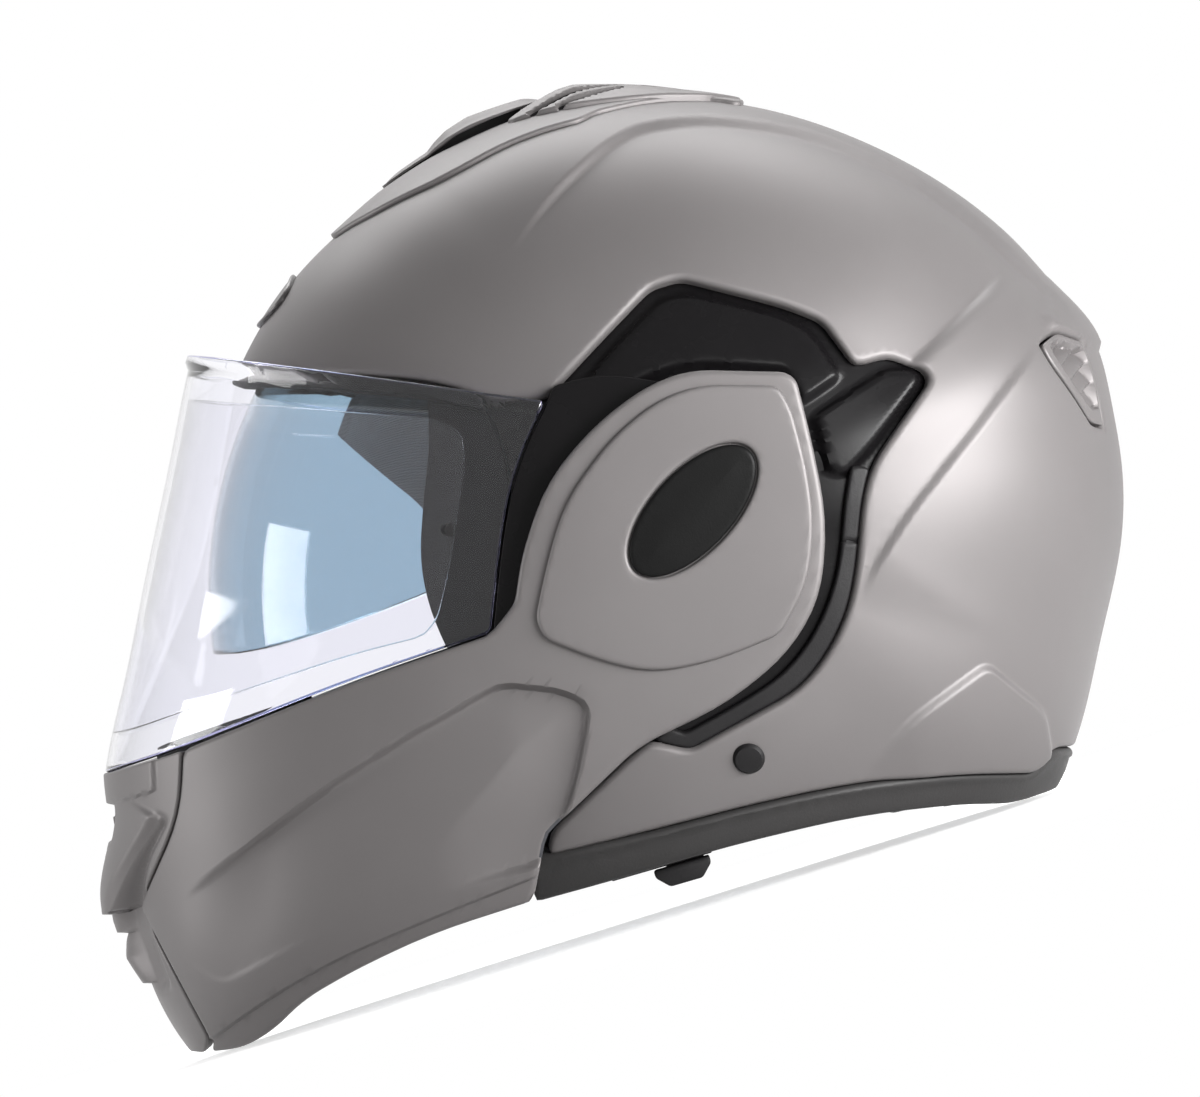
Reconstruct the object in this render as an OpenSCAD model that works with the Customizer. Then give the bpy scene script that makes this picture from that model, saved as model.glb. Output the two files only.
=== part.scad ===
/* [Helmet] */
// Length from the chin vent to the back of the shell
helmet_l = 342; // [330:1:350]
// Half width of the painted shell beside the ears
shell_w = 119; // [118.5:0.5:119.5]
// Wall of the moulded shell
shell_wall = 4; // [3.5:0.5:4.5]

/* [Chin bar] */
// Wall of the chin bar at the front
chin_wall = 4; // [3.5:0.5:4.5]
// Thickness of each hinge arm
arm_t = 5.5; // [5:0.5:6]
// Thickness of the cover on each arm
pod_cover_t = 2; // [1.5:0.5:2.5]
// How far the oval cap stands out of its cover
cap_proud = 0.8; // [0.5:0.1:1.2]

/* [Visors] */
// Thickness of the clear visor
visor_t = 2; // [1.6:0.1:2.2]
// Thickness of the anti-fog insert
antifog_t = 1; // [0.8:0.1:1.2]
// Thickness of the sun visor
sun_visor_t = 1.8; // [1.5:0.1:2.2]

/* [Hinges] */
// Radius of each hinge post
post_r = 7; // [6:0.5:8]
// Radius of the sun visor pins
sun_pin_r = 3; // [2.5:0.5:4]
// Running clearance round pins and posts
run_gap = 0.05; // [0.03:0.01:0.08]

/* [Lining] */
// Thickness of the comfort lining
lining_t = 8; // [6:1:10]
// Thickness of each cheek pad
cheek_t = 26; // [22:1:28]
// Width of the chin strap
strap_w = 24; // [20:1:26]
// Thickness of the chin strap
strap_t = 2.4; // [2:0.2:3]

/* [Hidden] */

// Places on the side of the helmet are read in photograph pixels, and the hinge is the origin.
helmet_l_px = 1038;
hinge_px = [700, 505];
mm_per_px = helmet_l / helmet_l_px;
function at(p) = [(p[0] - hinge_px[0]) * mm_per_px, (hinge_px[1] - p[1]) * mm_per_px];
function trace(list) = [for (p = list) at(p)];

// The helmet stands on its chin and on the back of its neck edge.
chin_foot_px = [212, 1060];
back_foot_px = [1020, 806];
front_reach_px = [94.4, 898];
back_reach_px = [1121, 420];
rest_tilt = atan2(chin_foot_px[1] - back_foot_px[1], back_foot_px[0] - chin_foot_px[0]);
function rested(p) = [
    p[0] * cos(rest_tilt) + p[1] * sin(rest_tilt),
    p[1] * cos(rest_tilt) - p[0] * sin(rest_tilt)];
rest_h = -rested(at(chin_foot_px))[1];
rest_x = -(rested(at(front_reach_px))[0] + rested(at(back_reach_px))[0]) / 2;
big = 2 * helmet_l;
cut = 1;

module placed() {
    translate([rest_x, 0, rest_h])
        rotate([0, rest_tilt, 0])
            children();
}
module under_table() {
    rotate([0, -rest_tilt, 0])
        translate([-big / 2, -big / 2, -rest_h - big])
            cube(big);
}
module left() {
    mirror([0, 1, 0])
        children();
}

// Flat outlines.
function area2(list) = let (n = len(list))
    [for (i = 0, s = 0; i <= n; s = s + (i < n ? cross2(list[i], list[(i + 1) % n]) : 0), i = i + 1) s][n];
function cross2(a, b) = a[0] * b[1] - a[1] * b[0];
function turned(list) = [for (i = [len(list) - 1:-1:0]) list[i]];
function ccw(list) = area2(list) > 0 ? list : turned(list);
function lerp(a, b, t) = a + (b - a) * t;
function oval(c, long, short, tilt, n) = [for (i = [0:n - 1]) let (a = 360 * i / n)
    c + [long * cos(a) * cos(tilt) - short * sin(a) * sin(tilt),
        long * cos(a) * sin(tilt) + short * sin(a) * cos(tilt)]];
function run(list, first, last) = [for (i = [first:last]) list[i % len(list)]];
function every_other(list) = [for (i = [0:2:len(list) - 1]) list[i]];

// Curved surfaces: a ring gives the outline in side view, and the surface narrows towards it.
function share_of(p, ring) = norm(p) == 0 ? 0 : let (n = len(ring), hits = [for (i = [0:n - 1])
    let (a = ring[i], b = ring[(i + 1) % n])
    if (cross2(a, p) >= 0 && cross2(p, b) > 0) cross2(p, b - a) / cross2(a, b - a)])
    len(hits) > 0 ? hits[0] : 0;
function bulge(share, w, p, q) = w * pow(max(0, 1 - pow(min(1, share), p)), 1 / q);
function shrink(ring, t) = [for (v = ring) v * (1 - t / norm(v))];
function depth(ring, form, off) = let (inner = shrink(ring, off))
    function (v) bulge(share_of(v, inner), form[0] - off, form[1], form[2]);
function dome_rows(ring, form, off, angles) = [for (a = angles)
    let (k = pow(cos(a), 2 / form[1]), y = sign(a) * (form[0] - off) * pow(abs(sin(a)), 2 / form[2]))
    [for (v = shrink(ring, off)) [v[0] * k, y, v[1] * k]]];
function spread(first, last, n) = [for (j = [0:n]) lerp(first, last, j / n)];

module sheet_solid(outer, inner, wraps) {
    m = len(outer);
    n = len(outer[0]);
    function o(j, i) = j * n + (i % n);
    function u(j, i) = m * n + j * n + (i % n);
    last = wraps ? n - 1 : n - 2;
    points = concat([for (r = outer) each r], [for (r = inner) each r]);
    skin = [for (j = [0:m - 2]) for (i = [0:last]) each [
        [o(j, i), o(j, i + 1), o(j + 1, i + 1)], [o(j, i), o(j + 1, i + 1), o(j + 1, i)],
        [u(j, i), u(j + 1, i + 1), u(j, i + 1)], [u(j, i), u(j + 1, i), u(j + 1, i + 1)]]];
    hems = [for (i = [0:last]) each [
        [o(0, i), u(0, i), u(0, i + 1)], [o(0, i), u(0, i + 1), o(0, i + 1)],
        [o(m - 1, i), u(m - 1, i + 1), u(m - 1, i)], [o(m - 1, i), o(m - 1, i + 1), u(m - 1, i + 1)]]];
    ends = wraps ? [] : [for (j = [0:m - 2]) each [
        [o(j, 0), o(j + 1, 0), u(j + 1, 0)], [o(j, 0), u(j + 1, 0), u(j, 0)],
        [o(j, n - 1), u(j + 1, n - 1), o(j + 1, n - 1)], [o(j, n - 1), u(j, n - 1), u(j + 1, n - 1)]]];
    polyhedron(points, concat(skin, hems, ends));
}
module skin(ring, form, outer_off, inner_off, angles, wraps = false) {
    sheet_solid(dome_rows(ring, form, outer_off, angles), dome_rows(ring, form, inner_off, angles), wraps);
}
module dome(ring, form, off, angles) {
    n = len(ring);
    rows = dome_rows(ring, form, off, angles);
    m = len(rows);
    w = form[0] - off;
    points = concat([[0, -w, 0]], [for (r = rows) each r], [[0, w, 0]]);
    top = len(points) - 1;
    polyhedron(points, concat(
        [for (i = [0:n - 1]) [0, 1 + (i + 1) % n, 1 + i]],
        [for (j = [0:m - 2]) for (i = [0:n - 1]) each [
            [1 + j * n + i, 1 + j * n + (i + 1) % n, 1 + (j + 1) * n + (i + 1) % n],
            [1 + j * n + i, 1 + (j + 1) * n + (i + 1) % n, 1 + (j + 1) * n + i]]],
        [for (i = [0:n - 1]) [top, 1 + (m - 1) * n + i, 1 + (m - 1) * n + (i + 1) % n]]));
}
module plate(outline_raw, c, m, outer, inner) {
    outline = ccw(outline_raw);
    n = len(outline);
    flat = concat([c], [for (j = [1:m]) for (v = outline) c + (v - c) * j / m]);
    size = len(flat);
    function g(j, i) = 1 + (j - 1) * n + i % n;
    points = concat([for (v = flat) [v[0], outer(v), v[1]]], [for (v = flat) [v[0], inner(v), v[1]]]);
    top = concat([for (i = [0:n - 1]) [0, g(1, i), g(1, i + 1)]],
        m < 2 ? [] : [for (j = [1:m - 1]) for (i = [0:n - 1]) each [
            [g(j, i), g(j + 1, i), g(j + 1, i + 1)], [g(j, i), g(j + 1, i + 1), g(j, i + 1)]]]);
    hem = [for (i = [0:n - 1]) each [
        [g(m, i), size + g(m, i), size + g(m, i + 1)], [g(m, i), size + g(m, i + 1), g(m, i + 1)]]];
    polyhedron(points, concat(top, [for (f = top) [size + f[0], size + f[2], size + f[1]]], hem));
}
module band(a_raw, b_raw, m, outer, inner) {
    flip = area2(concat(a_raw, turned(b_raw))) < 0;
    a = flip ? b_raw : a_raw;
    b = flip ? a_raw : b_raw;
    rows = [for (j = [0:m]) [for (i = [0:len(a) - 1]) lerp(a[i], b[i], j / m)]];
    sheet_solid([for (r = rows) [for (v = r) [v[0], outer(v), v[1]]]],
        [for (r = rows) [for (v = r) [v[0], inner(v), v[1]]]], false);
}
module cutout(outline_px) {
    rotate([90, 0, 0])
        linear_extrude(big, center = true)
            polygon(trace(outline_px));
}
module side_slab(outline, y0, y1) {
    translate([0, y1, 0])
        rotate([90, 0, 0])
            linear_extrude(y1 - y0)
                polygon(outline);
}
module pin(p, y0, y1, r) {
    translate([p[0], y1, p[1]])
        rotate([90, 0, 0])
            cylinder(y1 - y0, r, r, $fn = 48);
}

// Outlines of the shell.
shell_form = [shell_w, 2.6, 2.2];
chin_over = 10;
chin_form = [shell_w + chin_over, 2.8, 2.2];
visor_over = 3;
visor_form = [shell_w + visor_over, 2.8, 2.2];
shell_ring_px = [
    [1126, 545], [1128, 480], [1118, 410], [1094, 328], [1055, 283], [1000, 230], [940, 185],
    [860, 143], [800, 121], [740, 107], [680, 101], [620, 103], [560, 111], [500, 127],
    [440, 153], [390, 184], [345, 222], [300, 266], [262, 317], [236, 366], [213, 440],
    [198, 540], [198, 660], [230, 800], [300, 925], [410, 1020], [540, 1062], [680, 1050],
    [790, 1010], [890, 955], [985, 875], [1045, 812], [1078, 750], [1106, 640]];
shell_ring = trace(shell_ring_px);
shell_edge = 76;
shell_rows = 14;
window_px = [
    [545, 400], [600, 340], [650, 287], [680, 278], [785, 305], [822, 320], [855, 365], [890, 355],
    [925, 368], [930, 380], [872, 465], [862, 500], [856, 570], [848, 610], [830, 650], [800, 690],
    [690, 750], [650, 741], [565, 712], [486, 690]];
eyeport_px = [[0, 374], [250, 371], [340, 374], [430, 381], [486, 398]];
jaw_px = [[486, 720], [510, 800], [533, 856]];
trim_top_px = [
    [533, 860], [548, 857], [640, 834], [760, 803], [860, 783], [960, 773], [1034, 773], [1058, 750],
    [1200, 748]];
module outer_shell() {
    color("silver") difference() {
        skin(shell_ring, shell_form, 0, shell_wall, spread(-shell_edge, shell_edge, shell_rows), true);
        cutout(concat(eyeport_px, window_px, jaw_px, [[533, 1400], [0, 1400]]));
        cutout(concat(trim_top_px, [[1200, 1400], [484, 1400], [484, 860]]));
        for (s = [-1, 1])
            scale([1, s, 1]) {
                rear_vent_hole(0);
                pin(rivet_at, 0, shell_w, rivet_r + run_gap);
                pin(at(striker_px), 0, shell_w, striker_r + run_gap);
            }
        crown_intake(0);
    }
}

// Outlines of the lining.
eps_gap = 0.1;
brow_deep = 38;
head_inset = 33;
head_form = [shell_w - head_inset, 2.6, 2.2];
head_ring = shrink(every_other(shell_ring), brow_deep);
lining_form = [head_form[0] - lining_t, 2.6, 2.2];
half_rows = [for (i = [0:2:shell_rows]) spread(-shell_edge, shell_edge, shell_rows)[i]];
head_rows = [-84, -70, -54, -36, -18, 0, 18, 36, 54, 70, 84];
sun_px = [650, 590];
sun_at = at(sun_px);
sun_inset = 11;
sun_form = [shell_w - sun_inset, 2.6, 2.2];
sun_r_share = 0.43;
sun_r = helmet_l * sun_r_share;
sun_space = 1.4;
sun_ring = [for (a = [0:15:345]) sun_r * [cos(a), sin(a)]];
sun_rows = [-84, -72, -56, -38, -19, 0, 19, 38, 56, 72, 84];
sun_sweep_px = [[650, 640], [480, 760], [-50, 900], [-50, -50], [700, -50], [700, 640]];
cheek_gap_px = [[440, 560], [640, 606], [808, 650], [812, 900], [440, 1000]];
pocket_clear = 0.3;
module tray_room() {
    plate(trace(tray_clear_px), [0, 0], 3, function (v) shell_w + cut,
        depth(shell_ring, shell_form, tray_off + tray_t + 3 * pocket_clear));
}
module eps_liner() {
    color("dimgray") difference() {
        dome(every_other(shell_ring), shell_form, shell_wall + eps_gap, half_rows);
        dome(head_ring, head_form, 0, head_rows);
        cutout(concat(eyeport_px, [[488, 420], [510, 470], [500, 560], [490, 640], [490, 1400], [0,
            1400]]));
        cutout(concat(trim_top_px, [[1200, 1400], [484, 1400], [484, 860]]));
        cutout(cheek_gap_px);
        difference() {
            cutout(sun_sweep_px);
            translate([sun_at[0], 0, sun_at[1]])
                dome(sun_ring, sun_form, sun_visor_t + sun_space, sun_rows);
        }
        for (s = [-1, 1])
            scale([1, s, 1]) {
                tray_room();
                pin([0, 0], hinge_plate_y - 3 * cut, shell_w, hinge_plate_r + cut);
                rear_vent_hole(-shell_wall);
                pin(rivet_at, anchor_y - cut, shell_w, anchor_r + cut);
            }
        crown_intake(-3 * cut);
    }
}
lining_px = [
    [230, 250], [262, 352], [300, 398], [470, 405], [520, 470], [515, 560], [640, 590], [815, 632],
    [960, 700], [1100, 690], [1150, 300], [900, 60], [600, 20], [330, 130]];
module comfort_liner() {
    color("dimgray") intersection() {
        difference() {
            dome(head_ring, head_form, eps_gap, head_rows);
            dome(head_ring, head_form, lining_t, head_rows);
        }
        cutout(lining_px);
    }
}
block_px = [
    [497, 606], [575, 620], [606, 640], [702, 650], [708, 700], [702, 806], [640, 824], [548, 846],
        [522, 800],
    [497, 700]];
block_off = 7;
pad_inset = 26;
pad_out = shell_w - pad_inset;
block_mid_px = [605, 728];
module cheek_block() {
    color("gray") difference() {
        plate(trace(block_px), at(block_mid_px), 2, depth(shell_ring, shell_form, block_off),
            function (v) pad_out + eps_gap);
        tray_room();
        pin(at(striker_px), striker_in - pocket_clear, shell_w, striker_head_r + pocket_clear);
    }
}
pad_px = [
    [470, 650], [520, 606], [620, 622], [680, 640], [702, 660], [704, 812], [640, 836], [560, 850],
        [505, 810],
    [475, 740]];
pad_mid_px = [590, 728];
pad_round = 14;
pad_seat = 2;
module cheek_pad() {
    rim = trace(pad_px);
    c = at(pad_mid_px);
    turned_rim = [for (v = ccw(rim)) v - c];
    color("dimgray") plate(rim, c, 4, function (v) pad_out - pad_seat * pow(share_of(v - c, turned_rim), 3),
        function (v) pad_out - cheek_t + pad_round * pow(share_of(v - c, turned_rim), 3));
}
roll_px = [[820, 792], [960, 778], [1030, 776], [1060, 760], [1060, 785], [1030, 800], [960, 800],
    [820, 818]];
roll_out = 7.2;
roll_in = 22;
low_ring = run(shell_ring, 24, 36);
low_rows = spread(-75, 75, 12);
module neck_roll() {
    color("dimgray") difference() {
        intersection() {
            skin(low_ring, shell_form, roll_out, roll_in, low_rows);
            cutout(roll_px);
        }
        under_table();
    }
}
trim_proud = 0.6;
trim_in = 6;
trim_step = 0.4;
trim_bottom_px = [
    [1073, 790], [1060, 803], [1036, 809], [1030, 814], [1008, 808], [960, 806], [860, 816],
    [730, 846], [620, 879], [534, 903]];
module lower_edge_trim() {
    color("dimgray") difference() {
        intersection() {
            skin(low_ring, shell_form, -trim_proud, trim_in, low_rows);
            translate([0, 0, -trim_step])
                cutout(concat(trim_top_px, [[1200, 790]], trim_bottom_px));
        }
        under_table();
    }
}

// Parts in the opening and in the recesses beside it.
gasket_h_px = [0, 9];
module eyeport_gasket() {
    brow = [for (p = eyeport_px) p + gasket_h_px];
    side_px = [[478, 396], [492, 420], [512, 470], [503, 560], [494, 640]];
    lap = [-9, 0];
    color("black") union() {
        intersection() {
            skin(run(shell_ring, 15, 22), shell_form, 0, shell_wall, spread(-70, 70, 14));
            cutout(concat([for (p = eyeport_px) p + [0, 0.6]], turned(brow)));
        }
        for (s = [-1, 1])
            scale([1, s, 1])
                band(trace([for (p = side_px) p + [-1, 0]]), trace([for (p = side_px) p + lap]), 1,
                    depth(shell_ring, shell_form, shell_wall - cut),
                    depth(shell_ring, shell_form, tray_off + tray_t));
    }
}
tray_off = 4.7;
tray_t = 2.4;
tray_px = [
    [492, 420], [480, 386], [535, 383], [590, 327], [642, 275], [682, 263], [790, 291], [833, 309],
    [862, 347], [892, 339], [935, 356], [948, 382], [886, 472], [877, 503], [871, 573], [862, 616],
    [843, 659], [808, 703], [692, 766], [645, 756], [560, 728], [492, 708], [494, 640], [503, 560],
    [512, 470]];
tray_clear_px = [
    [450, 420], [450, 382], [533, 377], [584, 323], [638, 270], [682, 257], [794, 286], [837, 304],
    [865, 341], [893, 333], [940, 351], [955, 382], [892, 474], [883, 503], [877, 575], [868, 618],
    [849, 663], [812, 709], [693, 772], [643, 762], [556, 735], [450, 714], [450, 640], [450, 560],
    [450, 470]];
module recess_tray() {
    color("black") difference() {
        plate(trace(tray_px), [0, 0], 3, depth(shell_ring, shell_form, tray_off),
            depth(shell_ring, shell_form, tray_off + tray_t));
        pin([0, 0], 0, shell_w, post_r + run_gap);
    }
}
strip_out_px = [
    [867, 468], [859, 502], [853, 568], [845, 608], [827, 648], [797, 687], [740, 719], [690, 747],
        [652, 739]];
strip_in_px = [
    [848, 466], [842, 500], [837, 560], [827, 600], [808, 640], [778, 676], [728, 707], [684, 731],
        [668, 725]];
strip_off = 1.7;
module recess_trim() {
    color("black") band(trace(strip_out_px), trace(strip_in_px), 1, depth(shell_ring, shell_form,
        strip_off),
        depth(shell_ring, shell_form, tray_off - pocket_clear / 3));
}
post_flange_r = 13;
post_in_y = shell_w - sun_inset;
post_out_y = chin_form[0] - pocket_clear - cut / 5;
hinge_plate_r = 22;
hinge_plate_t = 2;
hinge_plate_y = shell_w - tray_off - tray_t - 3 * pocket_clear - hinge_plate_t;
module hinge_post() {
    tray_y = shell_w - tray_off + pocket_clear / 6;
    color("silver") union() {
        pin([0, 0], post_in_y, post_out_y, post_r);
        pin([0, 0], tray_y, visor_form[0] - visor_t - pocket_clear, post_flange_r);
    }
}
module hinge_plate() {
    color("silver") difference() {
        pin([0, 0], hinge_plate_y, hinge_plate_y + hinge_plate_t, hinge_plate_r);
        pin([0, 0], 0, shell_w, post_r + run_gap);
    }
}

// Vents in the shell.
vent_ring = run(shell_ring, 9, 16);
vent_rows = spread(-19, 19, 6);
vent_floor = 1.6;
vent_top = 4.6;
intake_px = [[470, 150], [520, 132], [600, 112], [600, 60], [440, 60]];
intake_w = 22;
module crown_intake(grow) {
    intersection() {
        cutout(intake_px);
        cube([big, intake_w - grow, big], center = true);
    }
}
module crown_vent_base() {
    color("gray") difference() {
        skin(vent_ring, shell_form, -vent_floor, -3 * eps_gap, vent_rows);
        crown_intake(0);
    }
}
crown_slot_px = [[446, 40], [446, 250], [560, 250], [560, 40]];
crown_slot_w = 26;
module crown_vent_cover() {
    color("gray") difference() {
        intersection() {
            skin(vent_ring, shell_form, -vent_top, -vent_floor - 3 * eps_gap, spread(-16, 16, 6));
            cutout([[392, 20], [374, 210], [400, 230], [700, 200], [728, 40]]);
        }
        intersection() {
            cutout(crown_slot_px);
            cube([big, crown_slot_w, big], center = true);
        }
        for (y = [-1, 1], x = [0:2])
            translate([at(cover_slot_px[x])[0], y * (cover_slot_y + x * cover_slot_step),
                at(cover_slot_px[x])[1]])
                rotate([0, 0, y * cover_slot_turn])
                    cube(cover_slot, center = true);
    }
}
cover_slot_px = [[580, 130], [616, 130], [652, 130]];
cover_slot_y = 8;
cover_slot_step = 3.5;
cover_slot_turn = 14;
cover_slot = [9, 5, 40];
slider_px = [482, 136];
slider_tilt = 20.5;
slider_plate = [22, 24, 1.5];
slider_lift = 2.2;
slider_rib = [1.4, 16, 3];
slider_rib_gap = 3;
slider_rib_sink = 0.3;
module crown_vent_slider() {
    mid = at(slider_px);
    rib_z = slider_lift + slider_plate[2] - slider_rib_sink;
    color("dimgray") translate([mid[0], 0, mid[1]])
        rotate([0, -slider_tilt, 0])
            union() {
                translate([-slider_plate[0] / 2, -slider_plate[1] / 2, slider_lift])
                    cube(slider_plate);
                for (x = [-1:1])
                    translate([x * slider_rib_gap - slider_rib[0], -slider_rib[1] / 2, rib_z])
                        cube(slider_rib);
            }
}
rear_vent_px = [[1040, 344], [1056, 331], [1100, 345], [1112, 428], [1092, 423], [1072, 392], [1050, 362]];
rear_vent_shares = [0.336, 0.655];
rear_vent_y = shell_w * rear_vent_shares;
rear_vent_w = rear_vent_y[1] - rear_vent_y[0];
module rear_vent_hole(grow) {
    intersection() {
        translate([0, rear_vent_y[0] - grow / 4, -big / 2])
            cube([big, rear_vent_w + grow / 2, big]);
        cutout(rear_vent_px);
    }
}
rear_gap = 0.25;
rear_vent_mid_px = [1076, 378];
rear_vent_fit_share = 0.975;
louvre_px = [1046, 350];
louvre_step_px = [0, 14];
louvre_in = 6;
louvre_step = 2;
louvre_tilt = 24;
louvre = [24, 26, 1.6];
module rear_vent() {
    color("dimgray") difference() {
        intersection() {
            skin(run(shell_ring, 1, 5), shell_form, rear_gap, shell_wall + cut, spread(12, 52, 6));
            translate([0, rear_vent_y[0] + rear_gap, -big / 2])
                cube([big, rear_vent_w - 2 * rear_gap, big]);
            cutout([for (p = rear_vent_px) lerp(rear_vent_mid_px, p, rear_vent_fit_share)]);
        }
        for (i = [0:4]) {
            p = at(louvre_px + i * louvre_step_px);
            translate([p[0], rear_vent_y[0] + louvre_in + i * louvre_step, p[1]])
                rotate([0, -louvre_tilt, 0])
                    cube(louvre);
        }
    }
}
badge_long = 26;
badge_short = 10;
badge_t = 1;
badge_px = [265, 300];
badge_tilt = 54;
module forehead_badge() {
    mid = at(badge_px);
    color("dimgray") intersection() {
        skin(run(shell_ring, 16, 20), shell_form, -badge_t, -eps_gap, spread(-16, 16, 6));
        translate([mid[0], 0, mid[1]])
            rotate([0, -badge_tilt, 0])
                linear_extrude(helmet_l / 6, center = true)
                    polygon(oval([0, 0], badge_short, badge_long, 0, 40));
    }
}

// Chin strap.
rivet_at = at([748, 757]);
rivet_r = 3;
rivet_head_r = 5.3;
rivet_tilt = 19;
anchor_inset = 23.6;
anchor_y = shell_w - anchor_inset;
anchor_r = 8;
anchor_t = 1.6;
rivet_head_t = 1.4;
rivet_head_edge = 1;
rivet_lift = 0.6;
rivet_neck = 1.5;
rivet_neck_r = 2.2;
rivet_tail = 1;
module strap_rivet() {
    y = depth(shell_ring, shell_form, 0)(rivet_at);
    color("dimgray") union() {
        pin(rivet_at, anchor_y - rivet_tail, y, rivet_r);
        translate([rivet_at[0], y, rivet_at[1]])
            rotate([-90 - rivet_tilt, 0, 0]) {
                translate([0, 0, rivet_lift])
                    cylinder(rivet_head_t, rivet_head_r, rivet_head_r - rivet_head_edge, $fn = 48);
                translate([0, 0, -rivet_neck])
                    cylinder(rivet_neck + rivet_lift, rivet_neck_r, rivet_neck_r, $fn = 48);
            }
    }
}
anchor_drop = 8;
anchor_slot_w = 10;
anchor_slot_h = 3.4;
module strap_anchor() {
    color("silver") difference() {
        hull() {
            pin(rivet_at, anchor_y, anchor_y + anchor_t, anchor_r);
            pin(rivet_at - [0, anchor_drop], anchor_y, anchor_y + anchor_t, anchor_r);
        }
        pin(rivet_at, 0, shell_w, rivet_r + run_gap);
        translate([rivet_at[0] - anchor_slot_w / 2, 0, rivet_at[1] - anchor_drop - anchor_r / 2])
            cube([anchor_slot_w, shell_w, anchor_slot_h]);
    }
}
// The strap hangs in one upright plane across the neck opening, listed as [y, z] over the table.
strap_x = rested(rivet_at)[0] + rest_x;
strap_top_z = rested(rivet_at)[1] + rest_h;
strap_drop = 4;
strap_shares = [[0.984, 0], [0.979, 0.732], [0.958, 0.65], [0.928, 0.58], [0.86, 0.51], [0.755, 0.468],
    [0.629, 0.446], [0.377, 0.44]];
strap_h = 50;
strap_path = [for (i = [0:7]) [
    anchor_y * strap_shares[i][0], i == 0 ? strap_top_z - strap_drop : strap_h * strap_shares[i][1]]];
strap_low_z = strap_path[7][1];
buckle_y = [-52, -8];
tongue_grip_y = 11.2;
strap_mid_y = 20;
strap_end_y = 52.4;
module strap(path) {
    n = len(path);
    flat = [for (i = [0:n - 1])
        let (t = path[min(i + 1, n - 1)] - path[max(i - 1, 0)], u = [-t[1], t[0]] / norm(t))
        path[i] + u * strap_t / 2];
    back = [for (i = [n - 1:-1:0])
        let (t = path[min(i + 1, n - 1)] - path[max(i - 1, 0)], u = [-t[1], t[0]] / norm(t))
        path[i] - u * strap_t / 2];
    translate([strap_x - strap_w / 2, 0, 0])
        rotate([90, 0, 90])
            linear_extrude(strap_w)
                polygon(concat(flat, back));
}
module chin_strap_right() {
    color("dimgray") strap(concat(strap_path, [[strap_mid_y, strap_low_z], [tongue_grip_y, strap_low_z]]));
}
module chin_strap_left() {
    color("dimgray") left()
        strap(concat([for (i = [0:6]) strap_path[i]], [[strap_end_y, strap_low_z]]));
}
buckle_w = 30;
buckle_h = 8;
buckle_z = 18.4;
tunnel_w = 22.8;
tunnel_z = 20;
tunnel_h = 3.8;
tunnel_in = 12;
lever_bay_w = 21;
lever_bay_l = 34;
lever_bay_z = 22;
lever_bay_in = 4;
lever_w = 20;
lever_l = 36;
lever_t = 1.4;
lever_z = 26.6;
lever_in = 6;
lever_eye_r = 1.5;
lever_eye_at = [3, 25.7];
lever_hole_w = 8;
lever_hole_l = 12;
lever_hole_in = 24;
tongue_w = 18;
tongue_l = 46.8;
tongue_t = 2.6;
tongue_z = 20.6;
tongue_in = 16;
tooth_w = 12;
tooth_l = 1.5;
tooth_step = 3.2;
tooth_deep = 0.8;
tooth_y = buckle_y[0] + tongue_in + tooth_l;
module buckle_body() {
    color("dimgray") translate([strap_x, 0, 0])
        difference() {
            translate([-buckle_w / 2, buckle_y[0], buckle_z])
                cube([buckle_w, buckle_y[1] - buckle_y[0], buckle_h]);
            translate([-tunnel_w / 2, buckle_y[0] + tunnel_in, tunnel_z])
                cube([tunnel_w, 2 * buckle_w, tunnel_h]);
            translate([-lever_bay_w / 2, buckle_y[0] + lever_bay_in, lever_bay_z])
                cube([lever_bay_w, lever_bay_l, buckle_h]);
        }
}
module buckle_lever() {
    color("silver") translate([strap_x, 0, 0])
        difference() {
            union() {
                translate([-lever_w / 2, buckle_y[0] + lever_in, lever_z])
                    cube([lever_w, lever_l, lever_t]);
                translate([-lever_w / 2, buckle_y[0] + lever_in + lever_eye_at[0], lever_eye_at[1]])
                    rotate([0, 90, 0])
                        cylinder(lever_w, lever_eye_r, lever_eye_r, $fn = 32);
            }
            translate([-lever_hole_w / 2, buckle_y[0] + lever_hole_in, tunnel_z])
                cube([lever_hole_w, lever_hole_l, lever_z]);
        }
}
module buckle_tongue() {
    color("gray") translate([strap_x, 0, 0])
        difference() {
            translate([-tongue_w / 2, buckle_y[0] + tongue_in, tongue_z])
                cube([tongue_w, tongue_l, tongue_t]);
            for (i = [0:7])
                translate([-tooth_w / 2, tooth_y + tooth_step * i, tongue_z + tongue_t - tooth_deep])
                    cube([tooth_w, tooth_l, tongue_t]);
        }
}

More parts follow.
